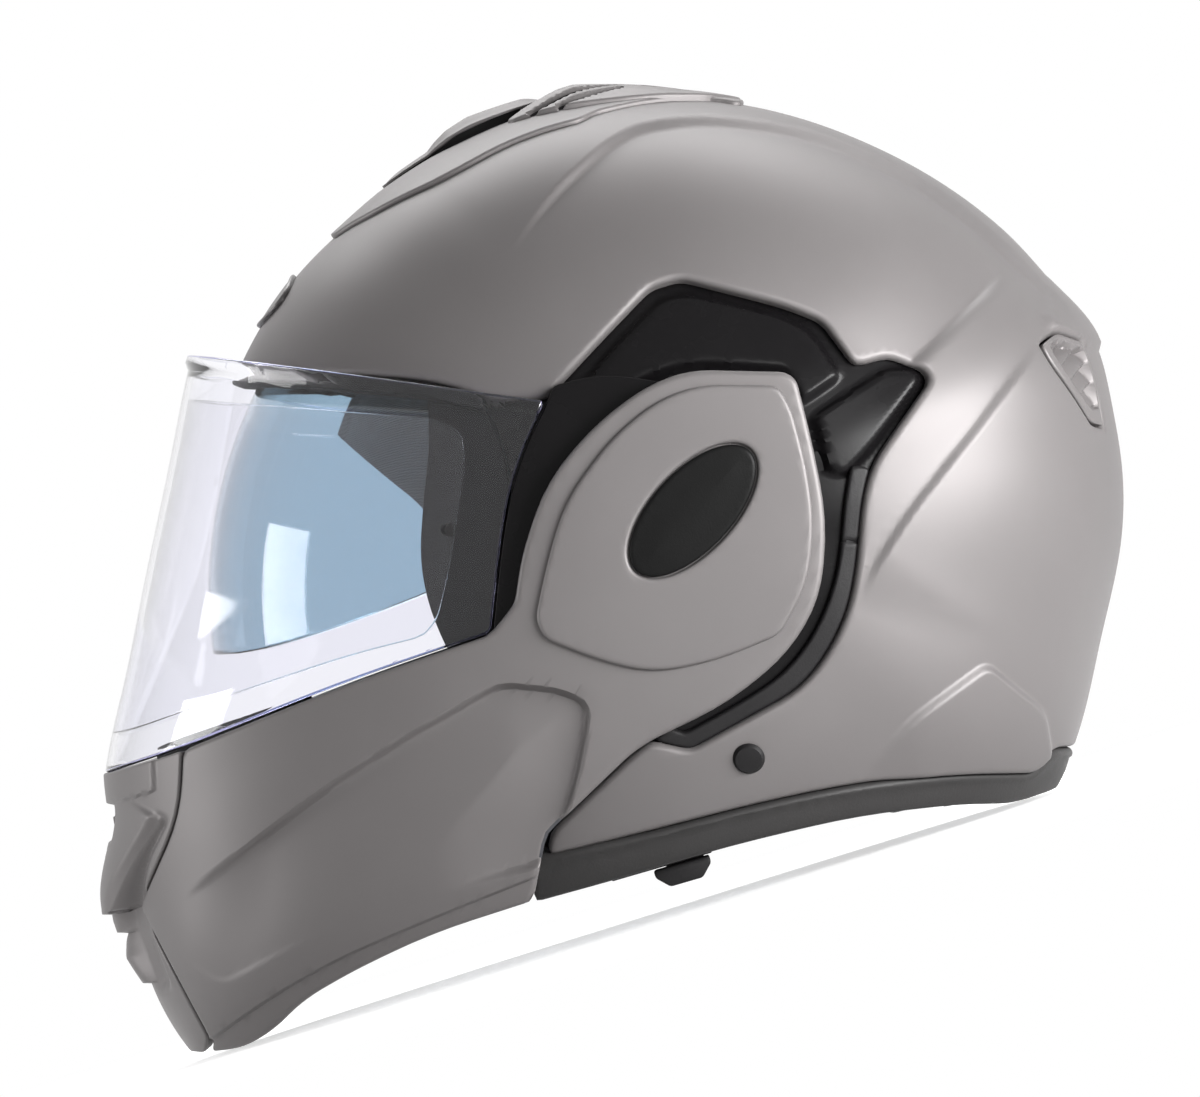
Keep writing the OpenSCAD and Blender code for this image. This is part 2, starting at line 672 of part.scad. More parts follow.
// Sun visor.
sun_band_px = [
    [120, 640], [215, 661], [300, 640], [400, 604], [490, 566], [560, 590], [650, 622], [690, 590],
    [650, 555], [590, 505], [540, 440], [500, 385], [420, 345], [300, 335], [120, 335]];
sun_boss_r = 14;
sun_boss_in = 0.6;
sun_boss_out = 0.2;
sun_fan = [for (a = [140:8:212]) sun_r * [cos(a), sin(a)]];
sun_lens_rows = [-88, -84, -76, -66, -54, -41, -28, -14, 0, 14, 28, 41, 54, 66, 76, 84, 88];
module sun_visor() {
    color("lightblue", 0.6) translate([sun_at[0], 0, sun_at[1]])
        difference() {
            union() {
                intersection() {
                    skin(sun_fan, sun_form, 0, sun_visor_t, sun_lens_rows);
                    translate([-sun_at[0], 0, -sun_at[1]])
                        cutout(sun_band_px);
                }
                for (s = [-1, 1])
                    scale([1, s, 1])
                        pin([0, 0], sun_form[0] - sun_visor_t - sun_boss_in,
                            sun_form[0] + sun_boss_out, sun_boss_r);
            }
            for (s = [-1, 1])
                scale([1, s, 1])
                    pin([0, 0], 0, shell_w, sun_pin_r + run_gap);
        }
}
sun_post_r = 8;
module sun_pivot() {
    seat = depth(shell_ring, shell_form, tray_off + tray_t)(sun_at) - 4 * pocket_clear;
    color("gray") union() {
        pin(sun_at, sun_form[0] - sun_visor_t - sun_boss_in - eps_gap, seat, sun_pin_r);
        pin(sun_at, sun_form[0] + pocket_clear, seat, sun_post_r);
    }
}
rail_px = [[612, 881], [712, 852]];
rail_tilt = atan2(rail_px[0][1] - rail_px[1][1], rail_px[1][0] - rail_px[0][0]);
rail_near_px = [604, 888];
rail_w = 6.5;
rail_out = depth(shell_ring, shell_form, trim_in + cut / 2)(at(rail_near_px));
rail_h = 8;
rail_end = 3;
track_in = 1.5;
track_w = 3.5;
track_h = 5;
track_gap = 0.2;
rail_l = norm(at(rail_px[1]) - at(rail_px[0]));
module along_rail(x, z) {
    a = at(rail_px[0]);
    translate([a[0], 0, a[1]])
        rotate([0, -rail_tilt, 0])
            translate([x, 0, z])
                children();
}
module sun_slider_rail() {
    color("black") along_rail(0, 0)
        difference() {
            translate([0, -rail_out, 0])
                cube([rail_l, rail_w, rail_h]);
            translate([rail_end, -rail_out + track_in, -cut])
                cube([rail_l - 2 * rail_end, track_w, track_h + cut]);
        }
}
knob_l = 12;
knob_neck = 0.6;
knob_top_l = 19;
knob_top_x = -5;
knob_top_z = [-3, -0.3];
knob_tip_l = 11;
knob_tip_x = -1;
knob_tip_z = [-7, -5];
knob_tip_in = 0.5;
module sun_slider_knob() {
    color("black") along_rail(rail_l - knob_l - rail_end - track_gap, 0)
        union() {
            translate([0, -rail_out + track_in + track_gap, -knob_neck])
                cube([knob_l, track_w - 2 * track_gap, track_h + knob_neck - 2 * track_gap]);
            hull() {
                translate([knob_top_x, -rail_out, knob_top_z[0]])
                    cube([knob_top_l, rail_w, knob_top_z[1] - knob_top_z[0]]);
                translate([knob_tip_x, -rail_out + knob_tip_in, knob_tip_z[0]])
                    cube([knob_tip_l, rail_w - 2 * knob_tip_in, knob_tip_z[1] - knob_tip_z[0]]);
            }
        }
}

// Chin bar.
striker_px = [516, 790];
striker_r = 2.2;
striker_head_r = 4.5;
striker_head_t = 1.2;
striker_l = 11.2;
striker_seat = 3.6;
striker_in = depth(shell_ring, shell_form, shell_wall)(at(striker_px)) - striker_seat;
hook_inset = 12.4;
hook_y = shell_w - hook_inset;
hook_t = 2;
hook_pin_r = 1.5;
hook_eye_r = 4;
hook_jaw_r = 6;
jaw_gap = 1.3;
hook_shy = 0.4;
hook_pivot_px = [480, 830];

chin_ring_px = [
    [1340, 505], [1254, 825], [1020, 1059], [820, 1160], [680, 1190], [560, 1200], [420, 1190], [300, 1150],
    [240, 1110], [198, 1070], [168, 1030], [146, 985], [130, 930], [118, 880], [110, 835], [103, 790],
    [101, 745], [98, 690], [84, 600], [66, 505], [146, 185], [380, -49], [700, -135], [1020, -49],
        [1254, 185]];
chin_ring = turned(trace(chin_ring_px));
boss_y = depth(chin_ring, chin_form, arm_t / 2)(at(hook_pivot_px));
chin_rows = [-84, -74, -62, -50, -38, -25, -12.5, 0, 12.5, 25, 38, 50, 62, 74, 84];
chin_inner_rows = chin_rows;
seam_px = [[182, 749], [181, 820], [142, 900], [137, 925], [188, 1050], [196, 1075]];
chin_top_px = [[350, 681], [489, 634]];
arm_px = [
    [514, 603], [521, 555], [546, 480], [598, 421], [646, 386], [688, 370], [784, 372], [796, 380],
    [811, 440], [827, 520], [820, 598], [789, 652], [730, 702], [650, 741], [631, 754], [547, 835],
        [534, 902]];
chin_bottom_px = [[430, 936], [350, 975], [300, 1005], [270, 1036], [240, 1057]];
inner_form = [chin_form[0] - arm_t, chin_form[1], chin_form[2]];
module chin_hollow(grow) {
    scale([1, (inner_form[0] - grow) / (chin_form[0] - chin_wall - grow), 1])
        dome(chin_ring, chin_form, chin_wall + grow, chin_inner_rows);
}
module chin_bar() {
    color("silver") difference() {
        intersection() {
            dome(chin_ring, chin_form, 0, chin_rows);
            cutout(concat(seam_px, [[200, 1068]], turned(chin_bottom_px), turned(arm_px),
                turned(chin_top_px)));
        }
        chin_hollow(0);
        for (s = [-1, 1])
            scale([1, s, 1])
                pin([0, 0], 0, chin_form[0] + cut, post_r + run_gap);
        under_table();
    }
    color("silver") for (s = [-1, 1])
        scale([1, s, 1]) {
            pin(at(hook_pivot_px), hook_y - hook_shy, boss_y, hook_pin_r);
            pin(at(hook_pivot_px), hook_y + hook_t + hook_shy / 2, boss_y, hook_eye_r);
        }
}
pod_px = [
    [545, 638], [536, 618], [548, 560], [566, 500], [612, 438], [656, 402], [698, 386], [776, 387],
        [789, 408],
    [803, 458], [813, 520], [806, 585], [778, 634], [716, 660], [652, 672], [600, 660]];
pod_lift = 0.25;
module pod_cover() {
    color("silver") plate(trace(pod_px), [0, 0], 3, depth(chin_ring, chin_form, -pod_cover_t - pod_lift),
        depth(chin_ring, chin_form, -pod_lift));
}
cap_px = [692, 511];
cap_long = 27;
cap_short = 13;
cap_tilt = 47;
module pod_cap() {
    color("black") plate(oval(at(cap_px), cap_long, cap_short, cap_tilt, 28), at(cap_px), 2,
        depth(chin_ring, chin_form, -pod_cover_t - pod_lift - cap_proud),
        depth(chin_ring, chin_form, -pod_cover_t - 2 * pod_lift));
}
front_run = run(chin_ring, 6, 19);
front_rows = spread(-42, 42, 10);
mouth_px = [[60, 797], [122, 797], [138, 842], [60, 846]];
shutter_half = 24;
mouth_w = 2 * shutter_half + 8 * cut;
beak_px = [[112, 850], [91, 886], [93, 904], [124, 912], [138, 900], [150, 850]];
teeth_px = [[118, 908], [113, 928], [124, 941], [121, 960], [137, 984], [156, 991], [163, 997], [152,
    975], [134, 925],
    [137, 905]];
module chin_vent_frame() {
    color("gray") difference() {
        union() {
            intersection() {
                skin(front_run, chin_form, 0, chin_wall, front_rows);
                cutout(concat([for (p = seam_px) p + [-1, 0]], [[60, 1075], [60, 776], [100, 775]]));
            }
            intersection() {
                skin(front_run, chin_form, -beak_proud, chin_wall / 2, front_rows);
                cutout(beak_px);
                plan_wedge(beak_half);
            }
            intersection() {
                skin(front_run, chin_form, -beak_proud, chin_wall / 2, front_rows);
                cutout(teeth_px);
                plan_wedge(teeth_half);
            }
            for (s = [-1, 1])
                scale([1, s, 1])
                    shutter_rib();
        }
        intersection() {
            cutout(mouth_px);
            cube([big, mouth_w, big], center = true);
        }
        under_table();
    }
}
beak_proud = 10;
beak_half = 34;
teeth_half = 16;
rib_px = [[118, 868], [146, 778]];
rib_shape_px = [[120, 778], [146, 778], [146, 868], [132, 868]];
rib_gap = 0.4;
rib_t = 2.2;
module shutter_rib() {
    lo = at(rib_px[0]);
    hi = at(rib_px[1]);
    intersection() {
        translate([lo[0], shutter_half + rib_gap, lo[1]])
            cube([hi[0] - lo[0], rib_t, hi[1] - lo[1]]);
        cutout(rib_shape_px);
    }
}
wedge_px = [88, 215];
wedge_grow = 6;
module plan_wedge(half) {
    x0 = at([wedge_px[0], 0])[0] - cut;
    x1 = at([wedge_px[1], 0])[0];
    wide = half + wedge_grow;
    translate([0, 0, -big / 2])
        linear_extrude(big)
            polygon([[x0, -half / 2], [x1, -wide], [x1, wide], [x0, half / 2]]);
}
shutter_px = [[134, 852], [138.5, 806]];
tab_x = -6;
tab_z = 4;
tab = [7, 12, 2.4];
module chin_vent_shutter() {
    lo = at(shutter_px[0]);
    hi = at(shutter_px[1]);
    color("dimgray") union() {
        translate([lo[0], -shutter_half, lo[1]])
            cube([hi[0] - lo[0], 2 * shutter_half, hi[1] - lo[1]]);
        translate([lo[0] + tab_x, -tab[1] / 2, lo[1] + tab_z])
            cube(tab);
    }
}
chin_eps = 22;
liner_gap = 2;
chin_liner_px = [
    [60, 800], [182, 762], [335, 704], [335, 955], [300, 978], [258, 1010], [230, 1030], [180, 1040],
        [60, 1030]];
module chin_liner() {
    color("dimgray") difference() {
        intersection() {
            skin(front_run, chin_form, chin_wall + liner_gap, chin_eps, spread(-60, 60, 12));
            cutout(chin_liner_px);
        }
        shutter_space();
        button_space();
    }
}
module shutter_space() {
    lo = at(shutter_room_px[0]);
    hi = at(shutter_room_px[1]);
    translate([lo[0], -mouth_w / 2, lo[1]])
        cube([hi[0] - lo[0], mouth_w, hi[1] - lo[1]]);
}
shutter_room_px = [[90, 872], [149, 765]];
chin_pad_px = [[100, 812], [182, 778], [300, 733], [300, 900], [230, 960], [160, 960]];
chin_pad_t = 8;
module chin_pad() {
    color("dimgray") intersection() {
        skin(front_run, chin_form, chin_eps + pocket_clear, chin_eps + chin_pad_t, spread(-50, 50, 10));
        cutout(chin_pad_px);
    }
}
deflector_px = [[120, 762], [182, 738], [310, 694], [313, 710], [182, 759], [120, 779]];
deflector_t = 2;
module breath_deflector() {
    color("black") intersection() {
        skin(front_run, chin_form, chin_eps - 2 * deflector_t, chin_eps - deflector_t, spread(-50, 50, 10));
        cutout(deflector_px);
    }
}
curtain_px = [
    [150, 1048], [226, 1043], [262, 1021], [305, 988], [345, 964], [372, 950], [370, 946], [343, 960],
    [303, 984], [260, 1016], [224, 1038], [150, 1043]];
curtain_deep = 26;
module chin_curtain() {
    color("black") difference() {
        intersection() {
            skin(front_run, chin_form, chin_wall + liner_gap, chin_wall + curtain_deep, spread(-60, 60,
                12));
            cutout(curtain_px);
        }
        button_space();
    }
}
button_px = [[212, 1034], [240, 1008]];
button_room_px = [[150, 1060], [246, 988]];
button_w = 26;
module button_space() {
    lo = at(button_room_px[0]);
    hi = at(button_room_px[1]);
    translate([lo[0], -button_w / 2 - cut, lo[1]])
        cube([hi[0] - lo[0], button_w + 2 * cut, hi[1] - lo[1]]);
}
module release_button() {
    lo = at(button_px[0]);
    hi = at(button_px[1]);
    color("firebrick") translate([lo[0], -button_w / 2, lo[1]])
        cube([hi[0] - lo[0], button_w, hi[1] - lo[1]]);
}
module latch_striker() {
    color("silver") union() {
        pin(at(striker_px), striker_in, striker_in + striker_l, striker_r);
        pin(at(striker_px), striker_in, striker_in + striker_head_t, striker_head_r);
    }
}
module latch_hook() {
    p = at(striker_px);
    c = at(hook_pivot_px);
    jaw_r = striker_r + jaw_gap;
    mouth = 2 * hook_jaw_r;
    color("silver") difference() {
        union() {
            hull() {
                pin(c, hook_y, hook_y + hook_t, hook_eye_r);
                pin(p, hook_y, hook_y + hook_t, hook_jaw_r);
            }
        }
        pin(c, 0, shell_w, hook_pin_r + run_gap);
        pin(p, 0, shell_w, jaw_r);
        side_slab([p, p - [jaw_r, 0], p - [jaw_r, mouth], p + [mouth, -mouth], p + [mouth, 0]], 0, shell_w);
    }
}

// Clear visor.
visor_ring_px = [
    [88, 900], [94, 835], [100, 775], [118, 688], [135, 605], [152, 523], [169, 441], [185, 364],
    [208, 300], [258, 228], [330, 170], [520, 40], [760, 20], [980, 110], [1140, 300], [1200, 505],
        [1140, 760],
    [980, 930], [760, 1050], [520, 1080], [260, 1040]];
visor_ring = turned(trace(visor_ring_px));
visor_fan = run(visor_ring, 10, 20);
visor_step = 78 / 9;
visor_rows = spread(-9 * visor_step, 9 * visor_step, 18);
visor_rear_px = [[545, 402], [522, 450], [507, 500], [498, 560], [491, 632]];
lens_top_px = [[60, 336], [183, 353], [300, 368]];
lens_foot_px = [[350, 679], [182, 747], [100, 774], [60, 791]];
lens_px = concat(lens_top_px, visor_rear_px, lens_foot_px);
lip = 2.5;
module visor_lens() {
    color("lightsteelblue", 0.4) difference() {
        union() {
            intersection() {
                skin(visor_fan, visor_form, 0, visor_t, visor_rows);
                cutout(lens_px);
            }
            intersection() {
                skin(run(visor_ring, 10, 14), visor_form, -lip, visor_t / 2, visor_rows);
                cutout(lip_px);
            }
        }
        for (s = [-1, 1])
            scale([1, s, 1])
                pin_at_antifog(antifog_pin_l + antifog_fit, antifog_pin_r + antifog_fit);
    }
}
lip_px = [[60, 336], [183, 353], [300, 368], [545, 402], [541, 409], [300, 377], [183, 362], [60, 345]];
visor_plate_px = [
    [547, 402], [553, 386], [600, 374], [652, 380], [720, 396], [790, 440], [815, 505], [800, 570],
        [740, 618],
    [650, 634], [560, 634], [493, 632], [500, 560], [509, 500], [524, 450]];
module visor_plate() {
    color("black") difference() {
        plate(trace(visor_plate_px), [0, 0], 3, depth(visor_ring, visor_form, 0),
            depth(visor_ring, visor_form, visor_t));
        pin([0, 0], 0, visor_form[0] + cut, post_r + run_gap);
    }
}
antifog_px = [
    [100, 390], [180, 398], [300, 408], [440, 420], [462, 432], [466, 460], [452, 560], [438, 620],
    [425, 636], [350, 655], [182, 712], [120, 736], [60, 740]];
antifog_lift = 0.15;
module antifog_lens() {
    color("lightsteelblue", 0.4) difference() {
        intersection() {
            skin(run(visor_ring, 11, 19), visor_form, visor_t + antifog_lift,
                visor_t + antifog_lift + antifog_t,
                spread(-8 * visor_step, 8 * visor_step, 16));
            cutout(antifog_px);
        }
        for (s = [-1, 1])
            scale([1, s, 1])
                pin_at_antifog(3 * antifog_pin_l, antifog_pin_r + antifog_fit);
    }
}
antifog_pin_px = [450, 530];
antifog_pin_r = 2.1;
antifog_pin_l = 1.2;
antifog_fit = 0.1;
antifog_turn = 26;
antifog_sink = 0.4;
module pin_at_antifog(half, r) {
    p = at(antifog_pin_px);
    y = depth(visor_ring, visor_form, visor_t)(p);
    translate([p[0], y, p[1]])
        rotate([-90, 0, -antifog_turn])
            translate([0, 0, -half - antifog_sink])
                cylinder(2 * half, r, r, $fn = 32);
}
module antifog_pin() {
    color("gray") for (s = [-1, 1])
        scale([1, s, 1])
            pin_at_antifog(antifog_pin_l, antifog_pin_r);
}

placed() outer_shell();
placed() eps_liner();
placed() comfort_liner();
placed() left() cheek_block();  // cheek_block_left
placed() cheek_block();  // cheek_block_right
placed() left() cheek_pad();  // cheek_pad_left
placed() cheek_pad();  // cheek_pad_right
placed() neck_roll();
placed() lower_edge_trim();
placed() eyeport_gasket();
placed() left() recess_tray();  // recess_tray_left
placed() recess_tray();  // recess_tray_right
placed() left() recess_trim();  // recess_trim_left
placed() recess_trim();  // recess_trim_right
placed() left() hinge_post();  // hinge_post_left
placed() hinge_post();  // hinge_post_right
placed() left() hinge_plate();  // hinge_plate_left
placed() hinge_plate();  // hinge_plate_right
placed() crown_vent_base();
placed() crown_vent_cover();
placed() crown_vent_slider();
placed() left() rear_vent();  // rear_vent_left
placed() rear_vent();  // rear_vent_right
placed() left() strap_rivet();  // strap_rivet_left
placed() strap_rivet();  // strap_rivet_right
placed() left() strap_anchor();  // strap_anchor_left
placed() strap_anchor();  // strap_anchor_right
chin_strap_left();
chin_strap_right();
buckle_body();
buckle_lever();
buckle_tongue();
placed() sun_visor();
placed() left() sun_pivot();  // sun_pivot_left
placed() sun_pivot();  // sun_pivot_right
placed() sun_slider_rail();
placed() sun_slider_knob();
placed() forehead_badge();
placed() left() latch_striker();  // latch_striker_left
placed() latch_striker();  // latch_striker_right
placed() chin_bar();
placed() left() pod_cover();  // pod_cover_left
placed() pod_cover();  // pod_cover_right
placed() left() pod_cap();  // pod_cap_left
placed() pod_cap();  // pod_cap_right
placed() chin_vent_frame();
placed() chin_vent_shutter();
placed() chin_liner();
placed() chin_pad();
placed() breath_deflector();
placed() chin_curtain();
placed() release_button();
placed() left() latch_hook();  // latch_hook_left
placed() latch_hook();  // latch_hook_right
placed() visor_lens();
placed() left() visor_plate();  // visor_plate_left
placed() visor_plate();  // visor_plate_right
placed() antifog_lens();
placed() antifog_pin();
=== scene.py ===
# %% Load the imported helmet
import math

import bmesh
import bpy
import numpy as np
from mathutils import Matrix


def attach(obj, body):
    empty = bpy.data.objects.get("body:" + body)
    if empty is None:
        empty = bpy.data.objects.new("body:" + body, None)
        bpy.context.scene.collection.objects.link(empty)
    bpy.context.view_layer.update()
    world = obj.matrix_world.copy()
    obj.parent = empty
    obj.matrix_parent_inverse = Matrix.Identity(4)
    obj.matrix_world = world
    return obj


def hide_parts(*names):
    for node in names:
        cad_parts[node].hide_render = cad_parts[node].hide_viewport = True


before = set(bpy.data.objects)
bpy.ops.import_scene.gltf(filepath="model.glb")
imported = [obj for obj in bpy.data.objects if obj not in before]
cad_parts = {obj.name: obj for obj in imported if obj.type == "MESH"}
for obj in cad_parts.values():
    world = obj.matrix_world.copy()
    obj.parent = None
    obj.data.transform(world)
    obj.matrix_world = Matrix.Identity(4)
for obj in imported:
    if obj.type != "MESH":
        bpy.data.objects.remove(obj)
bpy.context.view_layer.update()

# %% [markdown]
# The helmet is drawn from its side, as a photographer sees it. A place on the side is written in
# pixels of that view, and one number turns pixels into millimetres. The model rests on its chin
# and on the back of its neck edge, so the side view is turned by a fixed angle before it is used.
# Keeping one frame for all pieces is what lets them meet without any fitting by eye.

# %% From side view to table
SHELL_LENGTH = 342.0
SHELL_LENGTH_PX = 1038.0
HINGE_PX = np.array([700.0, 505.0])
CHIN_FOOT_PX = np.array([212.0, 1060.0])
BACK_FOOT_PX = np.array([1020.0, 806.0])
FRONT_REACH_PX = np.array([94.4, 898.0])
BACK_REACH_PX = np.array([1121.0, 420.0])
MM_PER_PX = SHELL_LENGTH / SHELL_LENGTH_PX
MM = 0.001
TILT = math.atan2(CHIN_FOOT_PX[1] - BACK_FOOT_PX[1], BACK_FOOT_PX[0] - CHIN_FOOT_PX[0])


def at(px):
    """Millimetres from the hinge, forward is negative, for places given in pixels."""
    px = np.asarray(px, float)
    return np.stack([(px[..., 0] - HINGE_PX[0]) * MM_PER_PX, (HINGE_PX[1] - px[..., 1]) * MM_PER_PX], -1)


def level(y_px):
    """Height over the hinge for a row of the side view."""
    return at([0, y_px])[1]


def rested(points):
    """Turn side-view millimetres so that the helmet stands on its feet."""
    x, z = points[..., 0], points[..., 1]
    c, s = math.cos(TILT), math.sin(TILT)
    return np.stack([x * c + z * s, z * c - x * s], -1)


REST_H = -rested(at(CHIN_FOOT_PX))[1]
REST_X = -(rested(at(FRONT_REACH_PX))[0] + rested(at(BACK_REACH_PX))[0]) / 2


def placed(points):
    """Helmet millimetres (x, y, z) to metres over the table."""
    turned = rested(points[..., [0, 2]])
    return np.stack([turned[..., 0] + REST_X, points[..., 1], turned[..., 1] + REST_H], -1) * MM


def unplaced(points):
    """Metres over the table back to helmet millimetres."""
    flat = np.stack([points[..., 0] / MM - REST_X, points[..., 2] / MM - REST_H], -1)
    c, s = math.cos(TILT), math.sin(TILT)
    x, z = flat[..., 0], flat[..., 1]
    return np.stack([x * c - z * s, points[..., 1] / MM, z * c + x * s], -1)


def in_scene(name, data):
    obj = bpy.data.objects.new(name, data)
    bpy.context.scene.collection.objects.link(obj)
    return obj


print("turned by", round(math.degrees(TILT), 2), "degrees, hinge", round(REST_H, 1), "mm high")

# %% [markdown]
# A photographer stands far off with a long lens, so near and far edges keep nearly the same scale.
# The camera looks straight across the helmet and is rolled by the angle at which it rests, because
# the helmet was shown level. Camera and lamps come first, so that each piece can be judged in place.

# %% Camera
PHOTO_W, PHOTO_H = 1200.0, 1097.0
CAMERA_AWAY = 7.0
NEAR_PLANE_Y = -0.075
SENSOR = 36.0
camera_data = bpy.data.cameras.new("camera")
camera_data.sensor_fit = "HORIZONTAL"
camera_data.sensor_width = SENSOR
camera_data.lens = SENSOR * CAMERA_AWAY / (PHOTO_W * MM_PER_PX * MM)
camera_data.clip_start = 0.1
camera_data.clip_end = 60.0
camera = in_scene("camera", camera_data)
middle = rested(at([PHOTO_W / 2, PHOTO_H / 2]))
camera.location = ((middle[0] + REST_X) * MM, NEAR_PLANE_Y - CAMERA_AWAY, (middle[1] + REST_H) * MM)
camera.rotation_euler = (math.pi / 2, TILT, 0)
bpy.context.scene.camera = camera
print("lens", round(camera_data.lens, 1), "mm at", CAMERA_AWAY, "m")

# %% [markdown]
# Studio light for a satin lacquer is a few large soft boxes: a low strip beside the back that lets
# the rear of the shell glow, a broad one over the far side, one in front, a faint one beside the
# rear, and a dim fill. Large lamps give long, soft gradients, which is how a curved painted surface
# shows its form. The floor and the world are white only to the rays that go straight to them,
# through glass or off a gloss, so the white background adds no light to the helmet.

# %% Studio
WHITE_BACK = 1.0
FILL = 0.05
world = bpy.data.worlds.new("studio")
bpy.context.scene.world = world
world.use_nodes = True
wt = world.node_tree
wt.nodes.clear()


def node(tree, kind, links=(), **settings):
    """Add a node, set its properties and sockets, and join the sockets listed in links."""
    made = tree.nodes.new(kind)
    for key, value in settings.items():
        if hasattr(made, key) and not key[0].isupper():
            setattr(made, key, value)
        else:
            made.inputs[key.replace("_", " ")].default_value = value
    for socket, source in links:
        tree.links.new(source, made.inputs[socket])
    return made


def white_rays(tree):
    """One for the rays that see the white background, zero for the rays that light the helmet."""
    ray = node(tree, "ShaderNodeLightPath").outputs
    straight = node(tree, "ShaderNodeMath", [(0, ray["Is Camera Ray"]), (1, ray["Is Transmission Ray"])],
                    operation="MAXIMUM")
    return node(tree, "ShaderNodeMath", [(0, straight.outputs[0]), (1, ray["Is Glossy Ray"])],
                operation="MAXIMUM").outputs[0]


PURE_WHITE = (1, 1, 1, 1)
fill = node(wt, "ShaderNodeBackground", Color=PURE_WHITE, Strength=FILL)
back = node(wt, "ShaderNodeBackground", Color=PURE_WHITE, Strength=WHITE_BACK)
sky = node(wt, "ShaderNodeMixShader", [(0, white_rays(wt)), (1, fill.outputs[0]), (2, back.outputs[0])])
node(wt, "ShaderNodeOutputWorld", [(0, sky.outputs[0])])


def lamp(name, place, aim, size, power):
    """A soft box of size metres by metres that faces its aim and isn't seen itself."""
    data = bpy.data.lights.new(name, "AREA")
    data.shape = "RECTANGLE"
    data.size, data.size_y = size
    data.energy = power
    obj = in_scene(name, data)
    obj.visible_camera = False
    obj.location = place
    way = np.array(aim) - np.array(place)
    obj.rotation_euler = (math.atan2(math.hypot(way[0], way[1]), -way[2]), 0, math.atan2(-way[0], way[1]))
    return obj


def blank(name):
    """An empty material, its tree, and the place on the piece in metres."""
    mat = bpy.data.materials.new(name)
    mat.use_nodes = True
    tree = mat.node_tree
    tree.nodes.clear()
    return mat, tree, node(tree, "ShaderNodeTexCoord").outputs["Object"]


FLOOR_SIZE, FLOOR_DROP = 6.0, 0.0005
FLOOR_NEAR, FLOOR_FAR, FLOOR_GLOW = 0.24, 0.55, 0.62
PAPER = (0.86, 0.86, 0.86, 1)
floor_mesh = bpy.data.meshes.new("floor")
floor_mesh.from_pydata([(x * FLOOR_SIZE, y * FLOOR_SIZE, -FLOOR_DROP)
                        for x, y in ((-1, -1), (1, -1), (1, 1), (-1, 1))], [], [(0, 1, 2, 3)])
floor = in_scene("floor", floor_mesh)
paper, pt, where = blank("white_studio_paper")
# The shadow shows near the helmet only; farther out the paper turns to plain white.
spot = node(pt, "ShaderNodeVectorMath", [(0, where)], operation="LENGTH")
away = node(pt, "ShaderNodeMapRange", [("Value", spot.outputs["Value"])], interpolation_type="SMOOTHSTEP",
            From_Min=FLOOR_NEAR, From_Max=FLOOR_FAR)
matt = node(pt, "ShaderNodeBsdfDiffuse", Color=PAPER)
glow = node(pt, "ShaderNodeEmission", Color=PURE_WHITE, Strength=FLOOR_GLOW)
white = node(pt, "ShaderNodeEmission", Color=PURE_WHITE, Strength=WHITE_BACK)
near = node(pt, "ShaderNodeAddShader", [(0, matt.outputs[0]), (1, glow.outputs[0])])
shown = node(pt, "ShaderNodeMixShader", [(0, away.outputs["Result"]), (1, near.outputs[0]),
                                         (2, white.outputs[0])])
sheet = node(pt, "ShaderNodeMixShader", [(0, white_rays(pt)), (1, matt.outputs[0]), (2, shown.outputs[0])])
node(pt, "ShaderNodeOutputMaterial", [("Surface", sheet.outputs[0])])
floor_mesh.materials.append(paper)

TARGET = (0.0, 0.0, 0.14)
REAR_TARGET = (0.12, 0.0, 0.08)
lamp("softbox_back", (0.75, -0.6, 0.12), REAR_TARGET, (0.8, 0.24), 23)
lamp("softbox_top", (0.2, 0.8, 1.3), TARGET, (1.6, 0.7), 22)
lamp("softbox_front", (-1.8, 0.05, 0.5), TARGET, (0.8, 1.0), 21)
lamp("softbox_side", (0.5, -1.6, 0.2), REAR_TARGET, (0.5, 0.3), 3)
bpy.context.scene.view_settings.view_transform = "Standard"


# %% [markdown]
# Every finish below starts from a sRGB hex value, because that is how paint and plastic chips are
# quoted. Renderers mix light in linear numbers, so one function makes the change for all of them.

# %% Colour helper
def linear(hex_value):
    """The sRGB rule: a straight foot for near black, a power curve above it."""
    parts = [int(hex_value[i:i + 2], 16) / 255 for i in (1, 3, 5)]
    return tuple(p / 12.92 if p <= 0.04045 else ((p + 0.055) / 1.055) ** 2.4 for p in parts) + (1.0,)


def two_tone(tree, share, low, high):
    """Blend two colours by a value between 0 and 1."""
    return node(tree, "ShaderNodeMix", [("Factor", share)], data_type="RGBA", A=linear(low),
                B=linear(high)).outputs["Result"]


def painted(tree, colour, bump, links=(), **sockets):
    """The surface shader of a solid finish and the material output."""
    shader = node(tree, "ShaderNodeBsdfPrincipled",
                  [("Base Color", colour), ("Normal", bump.outputs["Normal"]), *links], **sockets)
    node(tree, "ShaderNodeOutputMaterial", [("Surface", shader.outputs["BSDF"])])


